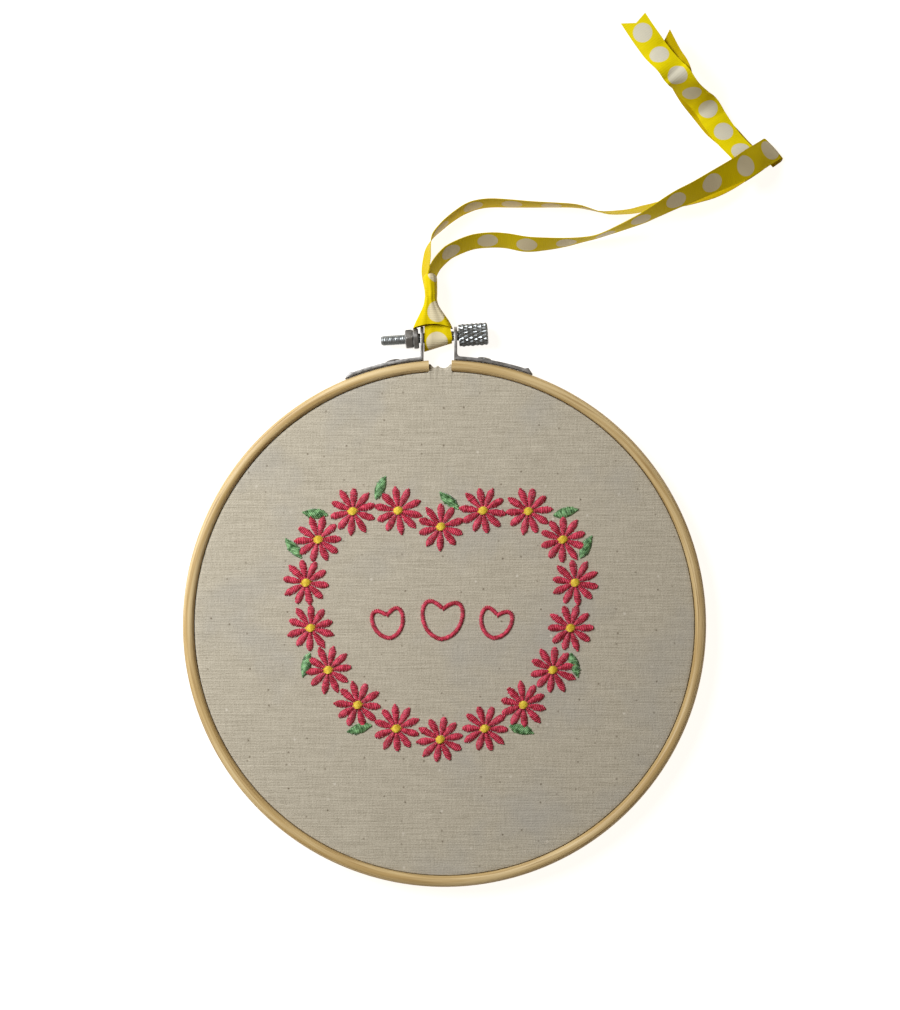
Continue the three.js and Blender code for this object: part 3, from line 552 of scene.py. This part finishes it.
def bend_ring(name, outside, height, rounding, easing, gap_degrees, from_degrees):
    """A ring of bamboo: its section is spun round the hoop's centre, but for the gap."""
    piece = start_piece(name, bpy.ops.mesh.primitive_plane_add, size=1)
    middle = outside - RING_WALL / 2
    start = math.radians(from_degrees - gap_degrees / 2)
    outward = Vector((math.cos(start), math.sin(start), 0))
    for vertex in piece.data.vertices:
        flat = outward * (middle + vertex.co.x * RING_WALL)
        vertex.co = place(flat.x, flat.y, (vertex.co.y + 0.5) * height)
    for level, size, segments in ((height, rounding, 6), (0, easing, 3)):
        bpy.ops.object.mode_set(mode="EDIT")
        bpy.ops.mesh.select_mode(type="VERT")
        bpy.ops.mesh.select_all(action="DESELECT")
        bpy.ops.object.mode_set(mode="OBJECT")
        for vertex in piece.data.vertices:
            vertex.select = abs(vertex.co.z - level * MM) < height * MM * 0.01
        bpy.ops.object.mode_set(mode="EDIT")
        bpy.ops.mesh.bevel(affect="VERTICES", offset=size * MM, segments=segments)
        bpy.ops.object.mode_set(mode="OBJECT")
    sweep = {"steps": RING_STEPS, "angle": math.radians(360 - gap_degrees),
             "center": HOOP, "axis": (0, 0, 1)}
    # A full turn needs no end faces, so the section's own face goes
    hollow = [] if gap_degrees else [(bpy.ops.mesh.delete, {"type": "ONLY_FACE"})]
    edit_all(*hollow, (bpy.ops.mesh.spin, sweep),
             (bpy.ops.mesh.remove_doubles, {"threshold": 2 * WELD}), FACE_OUT)
    bpy.ops.object.shade_smooth_by_angle(angle=math.radians(35))
    return piece


def spring_open(piece):
    """Makes the upper half a little taller than round."""
    for vertex in piece.data.vertices:
        vertex.co.y += UPPER_STRETCH * max(0.0, vertex.co.y - HOOP.y)


split_half = math.degrees(math.asin(SPLIT_WIDTH / 2 / RING_RADIUS))
split_middle = 90 - math.degrees(math.asin(SPLIT_X / RING_RADIUS))
outer_ring = bend_ring("ring_outer", outside=RING_RADIUS, height=9.0, rounding=2.05, easing=0.6,
                       gap_degrees=2 * split_half, from_degrees=split_middle)
inner_ring = bend_ring("ring_inner", outside=94.9, height=6.2, rounding=0.6, easing=0.6,
                       gap_degrees=0, from_degrees=90)
for ring in (outer_ring, inner_ring):
    spring_open(ring)
    print(ring.name, len(ring.data.polygons), "faces", [round(d / MM, 1) for d in ring.dimensions])

# %% [markdown]
# ## Bamboo finish
# Bamboo is a bundle of straight fibres. Planed, it shows fine streaks along its length, paler and
# browner by turns, with a satin surface. The streaks have to follow the ring round, so the position is
# turned into an angle and a distance from the hoop's centre first. The angle's seam is put at the
# split, where there is no wood.


# %% Bamboo
def bamboo_finish():
    finish, add, shader = start_finish("bamboo, split and planed", Specular_IOR_Level=0.4)
    spot = add("TexCoord")
    local = add("VectorMath", {
        0: spot.outputs["Object"], 1: (HOOP.x, HOOP.y, 0)}, operation="SUBTRACT")
    parts = add("SeparateXYZ", {0: local})
    down = add("Math", {0: parts.outputs[1], 1: -1.0}, operation="MULTIPLY")
    angle = add("Math", {0: parts.outputs[0], 1: down}, operation="ARCTAN2")
    flat = add("CombineXYZ", {0: parts.outputs[0], 1: parts.outputs[1]})
    reach = add("VectorMath", {0: flat}, operation="LENGTH")
    fibre = add("CombineXYZ", {0: angle, 1: reach, 2: parts.outputs[2]})
    # Streaks: about 30 and 45 mm long, and 0.5 and 1.6 mm wide
    fine_scale = add("VectorMath", {0: fibre, 1: (3.3, 2000.0, 2000.0)}, operation="MULTIPLY")
    fine = add("TexNoise", {"Vector": fine_scale, "Scale": 1.0, "Detail": 4.0})
    broad_scale = add("VectorMath", {0: fibre, 1: (2.2, 620.0, 420.0)}, operation="MULTIPLY")
    broad = add("TexNoise", {"Vector": broad_scale, "Scale": 1.0, "Detail": 3.0})
    pale = add("MapRange", {0: broad, 1: 0.36, 2: 0.66})
    colour = add("Mix", {
        0: pale, 6: to_linear("#d8bf8c"), 7: to_linear("#ba9b62")}, data_type="RGBA")
    dark = add("MapRange", {0: fine, 1: 0.52, 2: 0.74, 4: 0.9})
    streaked = add("Mix", {0: dark, 6: colour, 7: to_linear("#8d6a35")}, data_type="RGBA")
    gloss = add("MapRange", {0: fine, 1: 0.3, 2: 0.7, 3: 0.42, 4: 0.62})
    bump = add("Bump", {"Height": fine, "Strength": 0.35, "Distance": 0.00015})
    set_sockets(shader, {"Base Color": streaked, "Roughness": gloss, "Normal": bump})
    return finish


def dress(piece, finish, slot, *replaced):
    """Gives a piece its finish and body, and hides the solids that it stands for; slot is not used."""
    piece.data.materials.clear()
    piece.data.materials.append(finish)
    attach(piece, "root")
    if replaced:
        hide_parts(*replaced)


bamboo = bamboo_finish()
dress(outer_ring, bamboo, "bamboo", "outer_hoop")
dress(inner_ring, bamboo, "bamboo", "inner_hoop")
print(bamboo.name)

# %% [markdown]
# ## Calico disc
# The cloth lies over the inner ring, turns down between the rings and is squeezed a little way out of
# the split. Half of its section, from the middle to the turned-down hem, is drawn as a line and spun
# to a disc. The rows near the split are then pulled out into uneven creases, and Solidify gives the
# sheet its thickness.

# %% Cloth sheet
CLOTH_TOP = 7.5
CLOTH_THICKNESS = 0.4
SKIRT_RADIUS = 96.5
HEM_HEIGHT = 0.2
CLOTH_STEPS = 176
SPLIT_STEPS = 26
SPLIT_DEGREES = 6.6
CREASE_FROM = 92
CREASE_HALF = 4.4
# Creases in the split: across from its middle, and how far out the cloth reaches
PUCKER = [
    (-4.4, 100.9), (-3.8, 100.8), (-3.0, 100.0), (-2.3, 99.3), (-1.5, 99.7), (-0.9, 100.3),
    (-0.1, 99.5), (1.2, 99.2), (2.4, 99.4), (3.2, 100.0), (3.9, 100.8), (4.4, 100.7),
]


def stretch_cloth():
    """The cloth's half section, drawn from one vertex and spun to a disc, finely at the split."""
    piece = start_piece("cloth_sheet", bpy.ops.mesh.primitive_plane_add, size=1)
    edit_all((bpy.ops.mesh.merge, {"type": "CENTER"}))
    piece.data.vertices[0].co = place(0, 0, CLOTH_TOP)
    bpy.ops.object.mode_set(mode="EDIT")
    bpy.ops.mesh.select_all(action="SELECT")
    section = [(radius, CLOTH_TOP) for radius in (6, 14, 24, 34, 44, 54, 64, 74, 82, 88, 92, 95)]
    section += [(95.8, 7.48), (96.3, 7.35)]
    section += [(SKIRT_RADIUS, height) for height in (6.9, 3.5, HEM_HEIGHT)]
    last = (0, CLOTH_TOP)
    start = math.radians(split_middle + SPLIT_DEGREES / 2)
    for radius, height in section:
        out = (radius - last[0]) * MM
        step = (out * math.cos(start), out * math.sin(start), (height - last[1]) * MM)
        bpy.ops.mesh.extrude_region_move(TRANSFORM_OT_translate={"value": step})
        last = (radius, height)
    bpy.ops.mesh.select_all(action="SELECT")
    for steps, degrees in ((SPLIT_STEPS, SPLIT_DEGREES), (CLOTH_STEPS, 360 - SPLIT_DEGREES)):
        bpy.ops.mesh.spin(steps=steps, angle=math.radians(degrees), center=HOOP, axis=(0, 0, 1))
    bpy.ops.object.mode_set(mode="OBJECT")
    edit_all((bpy.ops.mesh.remove_doubles, {"threshold": 10 * WELD}), FACE_OUT)
    return piece


def pull_creases(piece):
    """Draws the cloth out into the split in uneven creases."""
    for vertex in piece.data.vertices:
        x, y = (vertex.co.x - HOOP.x) / MM, (vertex.co.y - HOOP.y) / MM
        across = x - SPLIT_X
        if y > CREASE_FROM and abs(across) < CREASE_HALF:
            later = next(i for i in range(1, len(PUCKER)) if PUCKER[i][0] >= across)
            (x0, y0), (x1, y1) = PUCKER[later - 1], PUCKER[later]
            reach = y0 + (y1 - y0) * (across - x0) / (x1 - x0)
            edge = (1 + UPPER_STRETCH) * math.sqrt(SKIRT_RADIUS ** 2 - x * x)
            vertex.co.y += (reach - edge) * MM * min(1, (y - CREASE_FROM) / (edge - CREASE_FROM))
            # The ridges rise on the cloth's upper face only, from 3 mm further out
            ridge = 0.12 * math.sin(across * 2.6) + 0.7 * (across / CREASE_HALF) ** 4
            share = max(0, min(1, (y - CREASE_FROM - 3) / 2))
            vertex.co.z += ridge * MM * (vertex.co.z > 5 * MM) * share


cloth = stretch_cloth()
spring_open(cloth)
pull_creases(cloth)
weave = cloth.modifiers.new("thickness", "SOLIDIFY")
weave.thickness = CLOTH_THICKNESS * MM
weave.offset = -1.0
bpy.ops.object.modifier_apply(modifier=weave.name)
bpy.ops.object.shade_smooth_by_angle(angle=math.radians(50))
print(cloth.name, len(cloth.data.polygons), "faces", [round(d / MM, 1) for d in cloth.dimensions])

# %% [markdown]
# ## Calico finish
# Calico is plain-woven from unbleached cotton. It is matt and creamy grey, its threads swell and thin
# along their length, and specks of seed husk are left in it. The weave is two noises, drawn out along
# weft and warp, with faint ribs and a grain of fibres over them, and it drives the bump as well. The
# specks are cells of a Voronoi pattern, each as strong as the cell's own random tone.

# %% Calico
THREAD_PITCH = 0.85  # the real threads are about 0.4 mm apart; they are coarsened so that they show
RIB_SPACING = 1.0  # coarsened in the same way


def calico_finish():
    finish, add, shader = start_finish(
        "cotton calico, plain-woven, unbleached",
        Roughness=0.95, Specular_IOR_Level=0.15, Sheen_Weight=0.1)
    spot = add("TexCoord").outputs["Object"]
    # Threads, thicker and thinner by turns: 14 mm long across and 7 mm along, and one pitch wide
    slubs = []
    for stretch in ((70.0, 1000 / THREAD_PITCH, 1.0), (1000 / THREAD_PITCH, 140.0, 1.0)):
        scaled = add("VectorMath", {0: spot, 1: stretch}, operation="MULTIPLY")
        slubs.append(add("TexNoise", {
            "Vector": scaled, "Scale": 1.0, "Detail": 3.0, "Roughness": 0.6}))
    both = add("Mix", {0: 0.38, 2: slubs[0], 3: slubs[1]})
    thread = add("MapRange", {0: both, 1: 0.2, 2: 0.8}, clamp=False)
    # Weft ribs, each wandering a little
    drift = add("TexNoise", {"Vector": spot, "Scale": 120.0, "Detail": 2.0})
    parts = add("SeparateXYZ", {0: spot})
    phase = add("Math", {
        0: parts.outputs[1], 1: 2000 * math.pi / RIB_SPACING}, operation="MULTIPLY")
    wandering = add("Math", {0: drift, 1: 7.0, 2: phase}, operation="MULTIPLY_ADD")
    ribs = add("Math", {0: wandering}, operation="SINE")
    ribbed = add("Math", {0: ribs, 1: 0.1, 2: thread}, operation="MULTIPLY_ADD")
    # Grain of single fibres, 0.5 mm across
    fibre = add("TexNoise", {"Vector": spot, "Scale": 2000.0, "Detail": 1.0})
    grain = add("MapRange", {0: fibre, 1: 0.2, 2: 0.8, 3: -0.38, 4: 0.38}, clamp=False)
    grained = add("Math", {0: ribbed, 1: grain}, operation="ADD")
    woven = add("Mix", {
        0: grained, 6: to_linear("#9e9581"), 7: to_linear("#cdc4af")}, data_type="RGBA")
    # Greyer patches, about 30 mm across, here and there over the weave
    cloud = add("TexNoise", {"Vector": spot, "Scale": 32.0, "Detail": 3.0})
    patch = add("MapRange", {0: cloud, 1: 0.52, 2: 0.72, 3: 0.0, 4: 0.35})
    speckled = add("Mix", {0: patch, 6: woven, 7: to_linear("#a3a29e")}, data_type="RGBA")
    # Specks of seed husk and pale knots, of mixed strength: cell in mm, radius in mm, colour
    for cell, radius, tint in ((7.5, 0.55, "#5a4a36"), (14.0, 0.7, "#ddd5c4")):
        cells = add("TexVoronoi", {"Vector": spot, "Scale": 1000 / cell}, voronoi_dimensions="2D")
        near = add("MapRange", {0: cells, 1: radius / cell, 2: 0.3 * radius / cell})
        tone = add("SeparateColor", {0: cells.outputs["Color"]})
        strength = add("MapRange", {0: tone.outputs[0], 1: 0.5, 2: 1.0, 3: 0.0, 4: 0.75})
        amount = add("Math", {0: near, 1: strength}, operation="MULTIPLY")
        speckled = add("Mix", {0: amount, 6: speckled, 7: to_linear(tint)}, data_type="RGBA")
    bump = add("Bump", {"Height": grained, "Strength": 0.5, "Distance": 0.0002})
    set_sockets(shader, {"Base Color": speckled, "Normal": bump})
    return finish


calico = calico_finish()
dress(cloth, calico, "calico", "cloth")
print(calico.name)

# %% [markdown]
# ## Satin stitch
# A satin-stitched petal is a low pad with threads laid side by side across it, from edge to edge.
# Hundreds of threads would be slow to model one by one, so a thread is a four-sided tube that arches
# from one edge to the other, written straight into lists, and all threads of a colour become one
# mesh. Small steady differences in length leave the edges a little jagged, as a machine does.

# %% Threads and pads
STITCH_PITCH = 0.66  # real thread lies about 0.35 mm apart; it is coarsened so that it shows
THREAD_STEPS = 4
ARCH_ENDS = 0.31  # how high a thread's arch starts, as a share of its top
wander = random.Random(11)


class Threads:
    """The vertices and faces of all the threads of one colour."""

    def __init__(self):
        self.vertices = []
        self.faces = []

    def lay(self, start, end, rise, radius):
        """One thread from start to end, arched up to rise."""
        run = end - start
        side = Vector((-run.y, run.x, 0)).normalized() * radius
        first = len(self.vertices)
        for step in range(THREAD_STEPS + 1):
            t = step / THREAD_STEPS
            arch = math.sin(math.pi * (0.1 + 0.8 * t))
            centre = start + run * t + Vector((0, 0, rise * (arch - ARCH_ENDS) / (1 - ARCH_ENDS)))
            for across, up in ((1, 0), (0, 1), (-1, 0), (0, -1)):
                swell = 0.55 + 0.45 * arch
                spot = centre + side * across * swell + Vector((0, 0, radius * up * swell))
                self.vertices.append(place(*spot))
        for step in range(THREAD_STEPS):
            for corner in range(4):
                a = first + 4 * step + corner
                b = first + 4 * step + (corner + 1) % 4
                self.faces.append((a, b, b + 4, a + 4))
        last = first + 4 * THREAD_STEPS
        self.faces.append((first + 3, first + 2, first + 1, first))
        self.faces.append((last, last + 1, last + 2, last + 3))

    def pad(self, root, along, rows, relief):
        """The low padding under a petal or leaf, from rows of distance and half width."""
        side = Vector((-along.y, along.x, 0))
        widest = max(half for run, half in rows)
        first = len(self.vertices)
        for run, half in rows:
            for across in (-1.0, -0.6, 0.0, 0.6, 1.0):
                lift = relief * half / widest * math.sqrt(1 - across * across)
                spot = root + along * run + side * half * across + Vector((0, 0, lift))
                self.vertices.append(place(*spot))
        for row in range(len(rows) - 1):
            for column in range(4):
                a = first + 5 * row + column
                self.faces.append((a, a + 5, a + 6, a + 1))
            a = first + 5 * row
            self.faces.append((a, a + 4, a + 9, a + 5))
        self.faces.append(tuple(range(first, first + 5)))
        self.faces.append(tuple(range(first + 5 * len(rows) - 1, first + 5 * len(rows) - 6, -1)))

    def satin(self, root, along, rows, relief, slant):
        """Threads side by side across a shape, over a pad."""
        self.pad(root, along, rows, relief * 0.8)
        side = Vector((-along.y, along.x, 0))
        widest = max(half for run, half in rows)
        count = int((rows[-1][0] - rows[0][0]) / STITCH_PITCH)
        for stitch in range(count + 1):
            run = rows[0][0] + (stitch + 0.3) * STITCH_PITCH
            later = next((i for i in range(1, len(rows)) if rows[i][0] >= run), len(rows) - 1)
            (r0, h0), (r1, h1) = rows[later - 1], rows[later]
            half = h0 + (h1 - h0) * min(1, (run - r0) / (r1 - r0))
            half = max(0.22, half * wander.uniform(0.86, 1.12))
            middle = root + along * run
            reach = side * half + along * slant * half
            rise = relief * (0.25 + 0.75 * half / widest)
            self.lay(middle - reach, middle + reach, rise, STITCH_PITCH * 0.52)

    def piece(self, name):
        """All of it as one mesh object."""
        mesh = bpy.data.meshes.new(name)
        mesh.from_pydata(self.vertices, [], self.faces)
        for face in mesh.polygons:
            face.use_smooth = True
        made = bpy.data.objects.new(name, mesh)
        bpy.context.collection.objects.link(made)
        print(name, sum(len(face.vertices) - 2 for face in mesh.polygons), "triangles")
        return made


# %% [markdown]
# ## Garland
# Eighteen daisies stand at equal steps round a heart, each turned a little further than the last,
# with leaves growing outwards between them and three small outlined hearts in the middle. The heart
# is an ellipse whose halves are slid up towards the sides.

# %% Heart
HEART_CENTRE = Vector((-1.5, -3.0, 0))
HEART_SIZE = (52.0, 41.0, 27.0)
HEART_STEPS = 1440
FLOWERS = 18


def heart_points(half_width, half_height, shoulder, count):
    """Points at equal distances round a heart, clockwise from its dip, each with its heading."""
    fine = []
    for i in range(HEART_STEPS + 1):
        turn = 2 * math.pi * i / HEART_STEPS
        side = math.sin(turn)
        rise = shoulder * abs(side) * (0.6 + 0.4 * math.cos(turn))
        fine.append(Vector((half_width * side, half_height * math.cos(turn) + rise, 0)))
    runs = [0.0]
    for a, b in zip(fine, fine[1:]):
        runs.append(runs[-1] + (b - a).length)
    points = []
    for i in range(count):
        later = next(k for k in range(1, len(runs)) if runs[k] >= runs[-1] * i / count)
        heading = (fine[later] - fine[later - 1]).normalized()
        points.append((fine[later - 1].lerp(fine[later], 0.5), heading))
    return points


steps = heart_points(*HEART_SIZE, 2 * FLOWERS)
print("daisies", round((steps[2][0] - steps[0][0]).length, 1), "mm apart")

# %% Daisies, leaves and small hearts
THREAD_BASE = CLOTH_TOP + 0.02
# A petal and a leaf: distance from the root, half width
PETAL = [(1.7, 0.55), (3.2, 0.95), (5.0, 1.38), (7.3, 1.46), (8.3, 1.05), (9.0, 0.5)]
LEAF = [(0.0, 0.35), (1.8, 1.35), (3.6, 2.0), (5.7, 1.95), (7.7, 1.25), (9.3, 0.35)]
# A leaf: after which daisy it grows, and its turn from straight outwards
LEAVES = [(0, 26), (2, -38), (3, 46), (5, -52), (7, 40), (10, -44), (12, 50), (14, -36), (15, 44),
          (16, -24)]
# A small heart: x, y, half width, turn
SMALL_HEARTS = [(-20.0, 2.5, 6.8, 9), (0.5, 3.5, 8.6, -4), (21.0, 2.5, 6.8, -12)]
PETALS = 10
DAISY_TURN = 11
CENTRE_ROWS = 7
LEAF_OUT = 3.4
CORD_HALF = 0.85
CORD_PITCH = 0.46
HEART_ROUND = 4.6  # the way round a small heart, in half widths


def turned_flat(flat, degrees):
    """A flat direction, turned anticlockwise."""
    lean = math.radians(degrees)
    return Vector((flat.x * math.cos(lean) - flat.y * math.sin(lean),
                   flat.x * math.sin(lean) + flat.y * math.cos(lean), 0))


red, yellow, green = Threads(), Threads(), Threads()
for flower in range(FLOWERS):
    middle = HEART_CENTRE + steps[2 * flower][0] + Vector((0, 0, THREAD_BASE))
    for petal in range(PETALS):
        turn = math.radians(DAISY_TURN * flower + 360 / PETALS * petal + wander.uniform(-2.5, 2.5))
        along = Vector((-math.sin(turn), math.cos(turn), 0))
        stretch = wander.uniform(0.95, 1.02)
        rows = [(run * stretch, half) for run, half in PETAL]
        red.satin(middle, along, rows, relief=0.75, slant=0.18)
    for row in range(CENTRE_ROWS):
        up = -1.25 + row * 2.5 / (CENTRE_ROWS - 1)
        half = 2.2 * math.sqrt(1 - (up / 1.5) ** 2) * wander.uniform(0.94, 1.06)
        across = Vector((half, 0.12 * half, 0))
        spot = middle + Vector((0, up, 0.12))
        yellow.lay(spot - across, spot + across, rise=0.85, radius=0.33)
for gap, turn in LEAVES:
    spot, heading = steps[2 * gap + 1]
    outward = Vector((-heading.y, heading.x, 0))
    root = HEART_CENTRE + spot + outward * LEAF_OUT + Vector((0, 0, THREAD_BASE))
    green.satin(root, turned_flat(outward, turn), LEAF, relief=0.7, slant=0.55)
for x, y, half_width, turn in SMALL_HEARTS:
    middle = HEART_CENTRE + Vector((x, y, THREAD_BASE))
    count = int(HEART_ROUND * half_width / CORD_PITCH)
    size = (half_width - CORD_HALF, half_width * 0.78 - CORD_HALF, half_width * 0.8)
    for spot, heading in heart_points(*size, count):
        slant = Vector((-heading.y, heading.x, 0)) + heading * 0.5
        slant = slant * CORD_HALF * wander.uniform(0.94, 1.08)
        start, end = (middle + turned_flat(spot + reach, turn) for reach in (-slant, slant))
        red.lay(start, end, rise=0.5, radius=0.32)
red_work = red.piece("stitches_red")
yellow_work = yellow.piece("stitches_yellow")
green_work = green.piece("stitches_green")

# %% [markdown]
# ## Thread finish
# Embroidery thread is spun rayon: strong colour with a silky sheen that runs along the thread. The
# colour shifts a little from thread to thread and the roughness stays low enough for a soft gleam.


# %% Rayon thread
def thread_finish(name, light, deep):
    finish, add, shader = start_finish(
        name, Roughness=0.48, Specular_IOR_Level=0.45, Sheen_Weight=0.35, Sheen_Roughness=0.35)
    spot = add("TexCoord").outputs["Object"]
    cloud = add("TexNoise", {"Vector": spot, "Scale": 650.0, "Detail": 2.0})
    share = add("MapRange", {0: cloud, 1: 0.35, 2: 0.65})
    colour = add("Mix", {0: share, 6: to_linear(light), 7: to_linear(deep)}, data_type="RGBA")
    fibre = add("TexNoise", {"Vector": spot, "Scale": 2600.0, "Detail": 1.0})
    bump = add("Bump", {"Height": fibre, "Strength": 0.3, "Distance": 0.0001})
    set_sockets(shader, {"Base Color": colour, "Normal": bump})
    return finish


for work, name, light, deep, slot in (
        (red_work, "rayon thread, spun, coral red", "#de4560", "#a0152c", "red_thread"),
        (yellow_work, "rayon thread, spun, yellow", "#e9d044", "#d3b026", "yellow_thread"),
        (green_work, "rayon thread, spun, leaf green", "#93c487", "#285820", "green_thread")):
    dress(work, thread_finish(name, light, deep), slot, "cloth")
    print(name)

# %% [markdown]
# ## Zinc-plated closing
# The brackets, rivets, nut and screw are steel with a thin coat of zinc: grey, a little cloudy, with
# dull reflections. The rivets already have their right shape as solids, so those get the finish alone.
# The brackets are pressed from strip, so a bevel eases the edges of a copy of each, though only as far
# as its short edges let it. The screw and the nut need their thread, knurl and chamfers, so they are
# made anew.


# %% Zinc
def zinc_finish(name, dull, bright):
    finish, add, shader = start_finish(name, Metallic=0.85)
    spot = add("TexCoord").outputs["Object"]
    cloud = add("TexNoise", {"Vector": spot, "Scale": 420.0, "Detail": 4.0})
    colour = add("Mix", {0: cloud, 6: to_linear(dull), 7: to_linear(bright)}, data_type="RGBA")
    gloss = add("MapRange", {0: cloud, 1: 0.3, 2: 0.7, 3: 0.3, 4: 0.5})
    bump = add("Bump", {"Height": cloud, "Strength": 0.15, "Distance": 0.0001})
    set_sockets(shader, {"Base Color": colour, "Roughness": gloss, "Normal": bump})
    return finish


zinc = zinc_finish("mild steel, zinc-plated", "#828686", "#adb1b0")
dull_zinc = zinc_finish("mild steel, pressed and zinc-plated, dulled", "#84827e", "#b6b3ae")
for name in ("rivet_left", "rivet_right"):
    node_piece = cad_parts[name]
    node_piece.data.materials.clear()
    node_piece.data.materials.append(dull_zinc)
for name in ("bracket_left", "bracket_right"):
    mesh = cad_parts[name].data.copy()
    mesh.transform(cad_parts[name].matrix_world)
    strip = bpy.data.objects.new(name.replace("bracket", "strip"), mesh)
    bpy.context.collection.objects.link(strip)
    bpy.ops.object.select_all(action="DESELECT")
    strip.select_set(True)
    bpy.context.view_layer.objects.active = strip
    # A solid comes as loose triangles: they are merged, and its flat faces joined, before the bevel
    edit_all((bpy.ops.mesh.remove_doubles, {"threshold": WELD}),
             (bpy.ops.mesh.dissolve_limited, {"angle_limit": math.radians(1)}))
    eased = strip.modifiers.new("pressed edge", "BEVEL")
    eased.width = 0.25 * MM
    eased.segments = 2
    eased.angle_limit = math.radians(40)
    bpy.ops.object.modifier_apply(modifier=eased.name)
    bpy.ops.object.shade_smooth_by_angle(angle=math.radians(35))
    dress(strip, dull_zinc, "zinc_steel", name)
    print(strip.name, len(strip.data.polygons), "faces")

# %% [markdown]
# ## Clamping screw
# A stud is cut with a thread, and its barrel head is knurled by two wheels that roll crossing grooves.
# Each starts as a cylinder whose long edges are cut into many short ones. Moving the vertices in and
# out by their turn and their place along gives one helix for the thread and two crossed ones for the
# knurl.

# %% Screw
CLOSING_X = -2.2
SCREW_TILT = math.radians(4)
STUD = {"radius": 1.95, "start": -22.4, "end": 8.2, "pitch": 0.7, "depth": 0.14, "lead": 0.8}
BARREL = {"radius": 4.45, "start": 7.75, "end": 19.0,
          "around": 16, "pitch": 1.75, "depth": 0.6, "chamfer": 0.4}
NUT = {"start": -13.0, "flange": -10.2, "end": -7.85, "flats": 7.0, "radius": 4.0}


def turned_bar(name, sizes, around, cuts, shape):
    """A cylinder along the tilted screw, cut into rings; shape(along, turn) gives the radius."""
    start, end = sizes["start"], sizes["end"]
    piece = start_piece(name, bpy.ops.mesh.primitive_cylinder_add,
                        vertices=around, radius=sizes["radius"], depth=end - start)
    bpy.ops.object.mode_set(mode="EDIT")
    bpy.ops.mesh.select_mode(type="EDGE")
    bpy.ops.mesh.select_all(action="DESELECT")
    bpy.ops.object.mode_set(mode="OBJECT")
    corners = piece.data.vertices
    for edge in piece.data.edges:
        a, b = (corners[i].co for i in edge.vertices)
        edge.select = abs(a.z - b.z) > 0.1
    bpy.ops.object.mode_set(mode="EDIT")
    bpy.ops.mesh.subdivide(number_cuts=cuts)
    bpy.ops.object.mode_set(mode="OBJECT")
    for vertex in piece.data.vertices:
        along = (start + end) / 2 + vertex.co.z
        turn = math.atan2(vertex.co.y, vertex.co.x)
        radius = shape(along, turn)
        y, z = radius * math.cos(turn), radius * math.sin(turn)
        vertex.co = place(
            CLOSING_X + along * math.cos(SCREW_TILT) - y * math.sin(SCREW_TILT),
            SCREW_Y + along * math.sin(SCREW_TILT) + y * math.cos(SCREW_TILT), SCREW_Z + z)
    return piece


def zigzag(value):
    """0 at whole numbers, 1 half way between them."""
    return 1 - abs(2 * (value % 1.0) - 1)


def thread_radius(along, turn):
    ease = min(1.0, (along - STUD["start"]) / STUD["lead"])
    groove = STUD["depth"] * zigzag(along / STUD["pitch"] - turn / (2 * math.pi))
    return (STUD["radius"] - groove) * (0.75 + 0.25 * ease)


def knurl_radius(along, turn):
    round_share = turn / (2 * math.pi) * BARREL["around"]
    way = (along - BARREL["start"]) / (2 * BARREL["pitch"])
    groove = min(zigzag(round_share + way), zigzag(round_share - way))
    inset = min(along - BARREL["start"], BARREL["end"] - along)
    chamfer = max(0.0, BARREL["chamfer"] - inset)
    return BARREL["radius"] - BARREL["depth"] * (1 - groove) - chamfer


def nut_radius(along, turn):
    sixth = (turn + math.pi / 6) % (math.pi / 3) - math.pi / 6
    if along < NUT["flange"]:
        chamfer = 3.2 + 1.7 * (along - NUT["start"])
        return min(NUT["flats"] / 2 / math.cos(sixth), chamfer)
    front, back = 3.3 + 1.1 * (along - NUT["flange"]), 3.6 + 1.1 * (NUT["end"] - along)
    return min(NUT["radius"], front, back)


nut = turned_bar("nut_turned", NUT, around=96, cuts=30, shape=nut_radius)
bpy.ops.object.shade_smooth_by_angle(angle=math.radians(30))
dress(nut, dull_zinc, "zinc_steel", "nut")
stud = turned_bar("screw_stud", STUD, around=32, cuts=262, shape=thread_radius)
barrel = turned_bar("screw_barrel", BARREL, around=144, cuts=62, shape=knurl_radius)
bpy.ops.object.select_all(action="DESELECT")
stud.select_set(True)
barrel.select_set(True)
bpy.context.view_layer.objects.active = barrel
bpy.ops.object.join()
edit_all(FACE_OUT)
bpy.ops.object.shade_smooth_by_angle(angle=math.radians(30))
dress(barrel, zinc, "zinc_steel", "screw")
print(barrel.name, len(barrel.data.polygons), "faces")
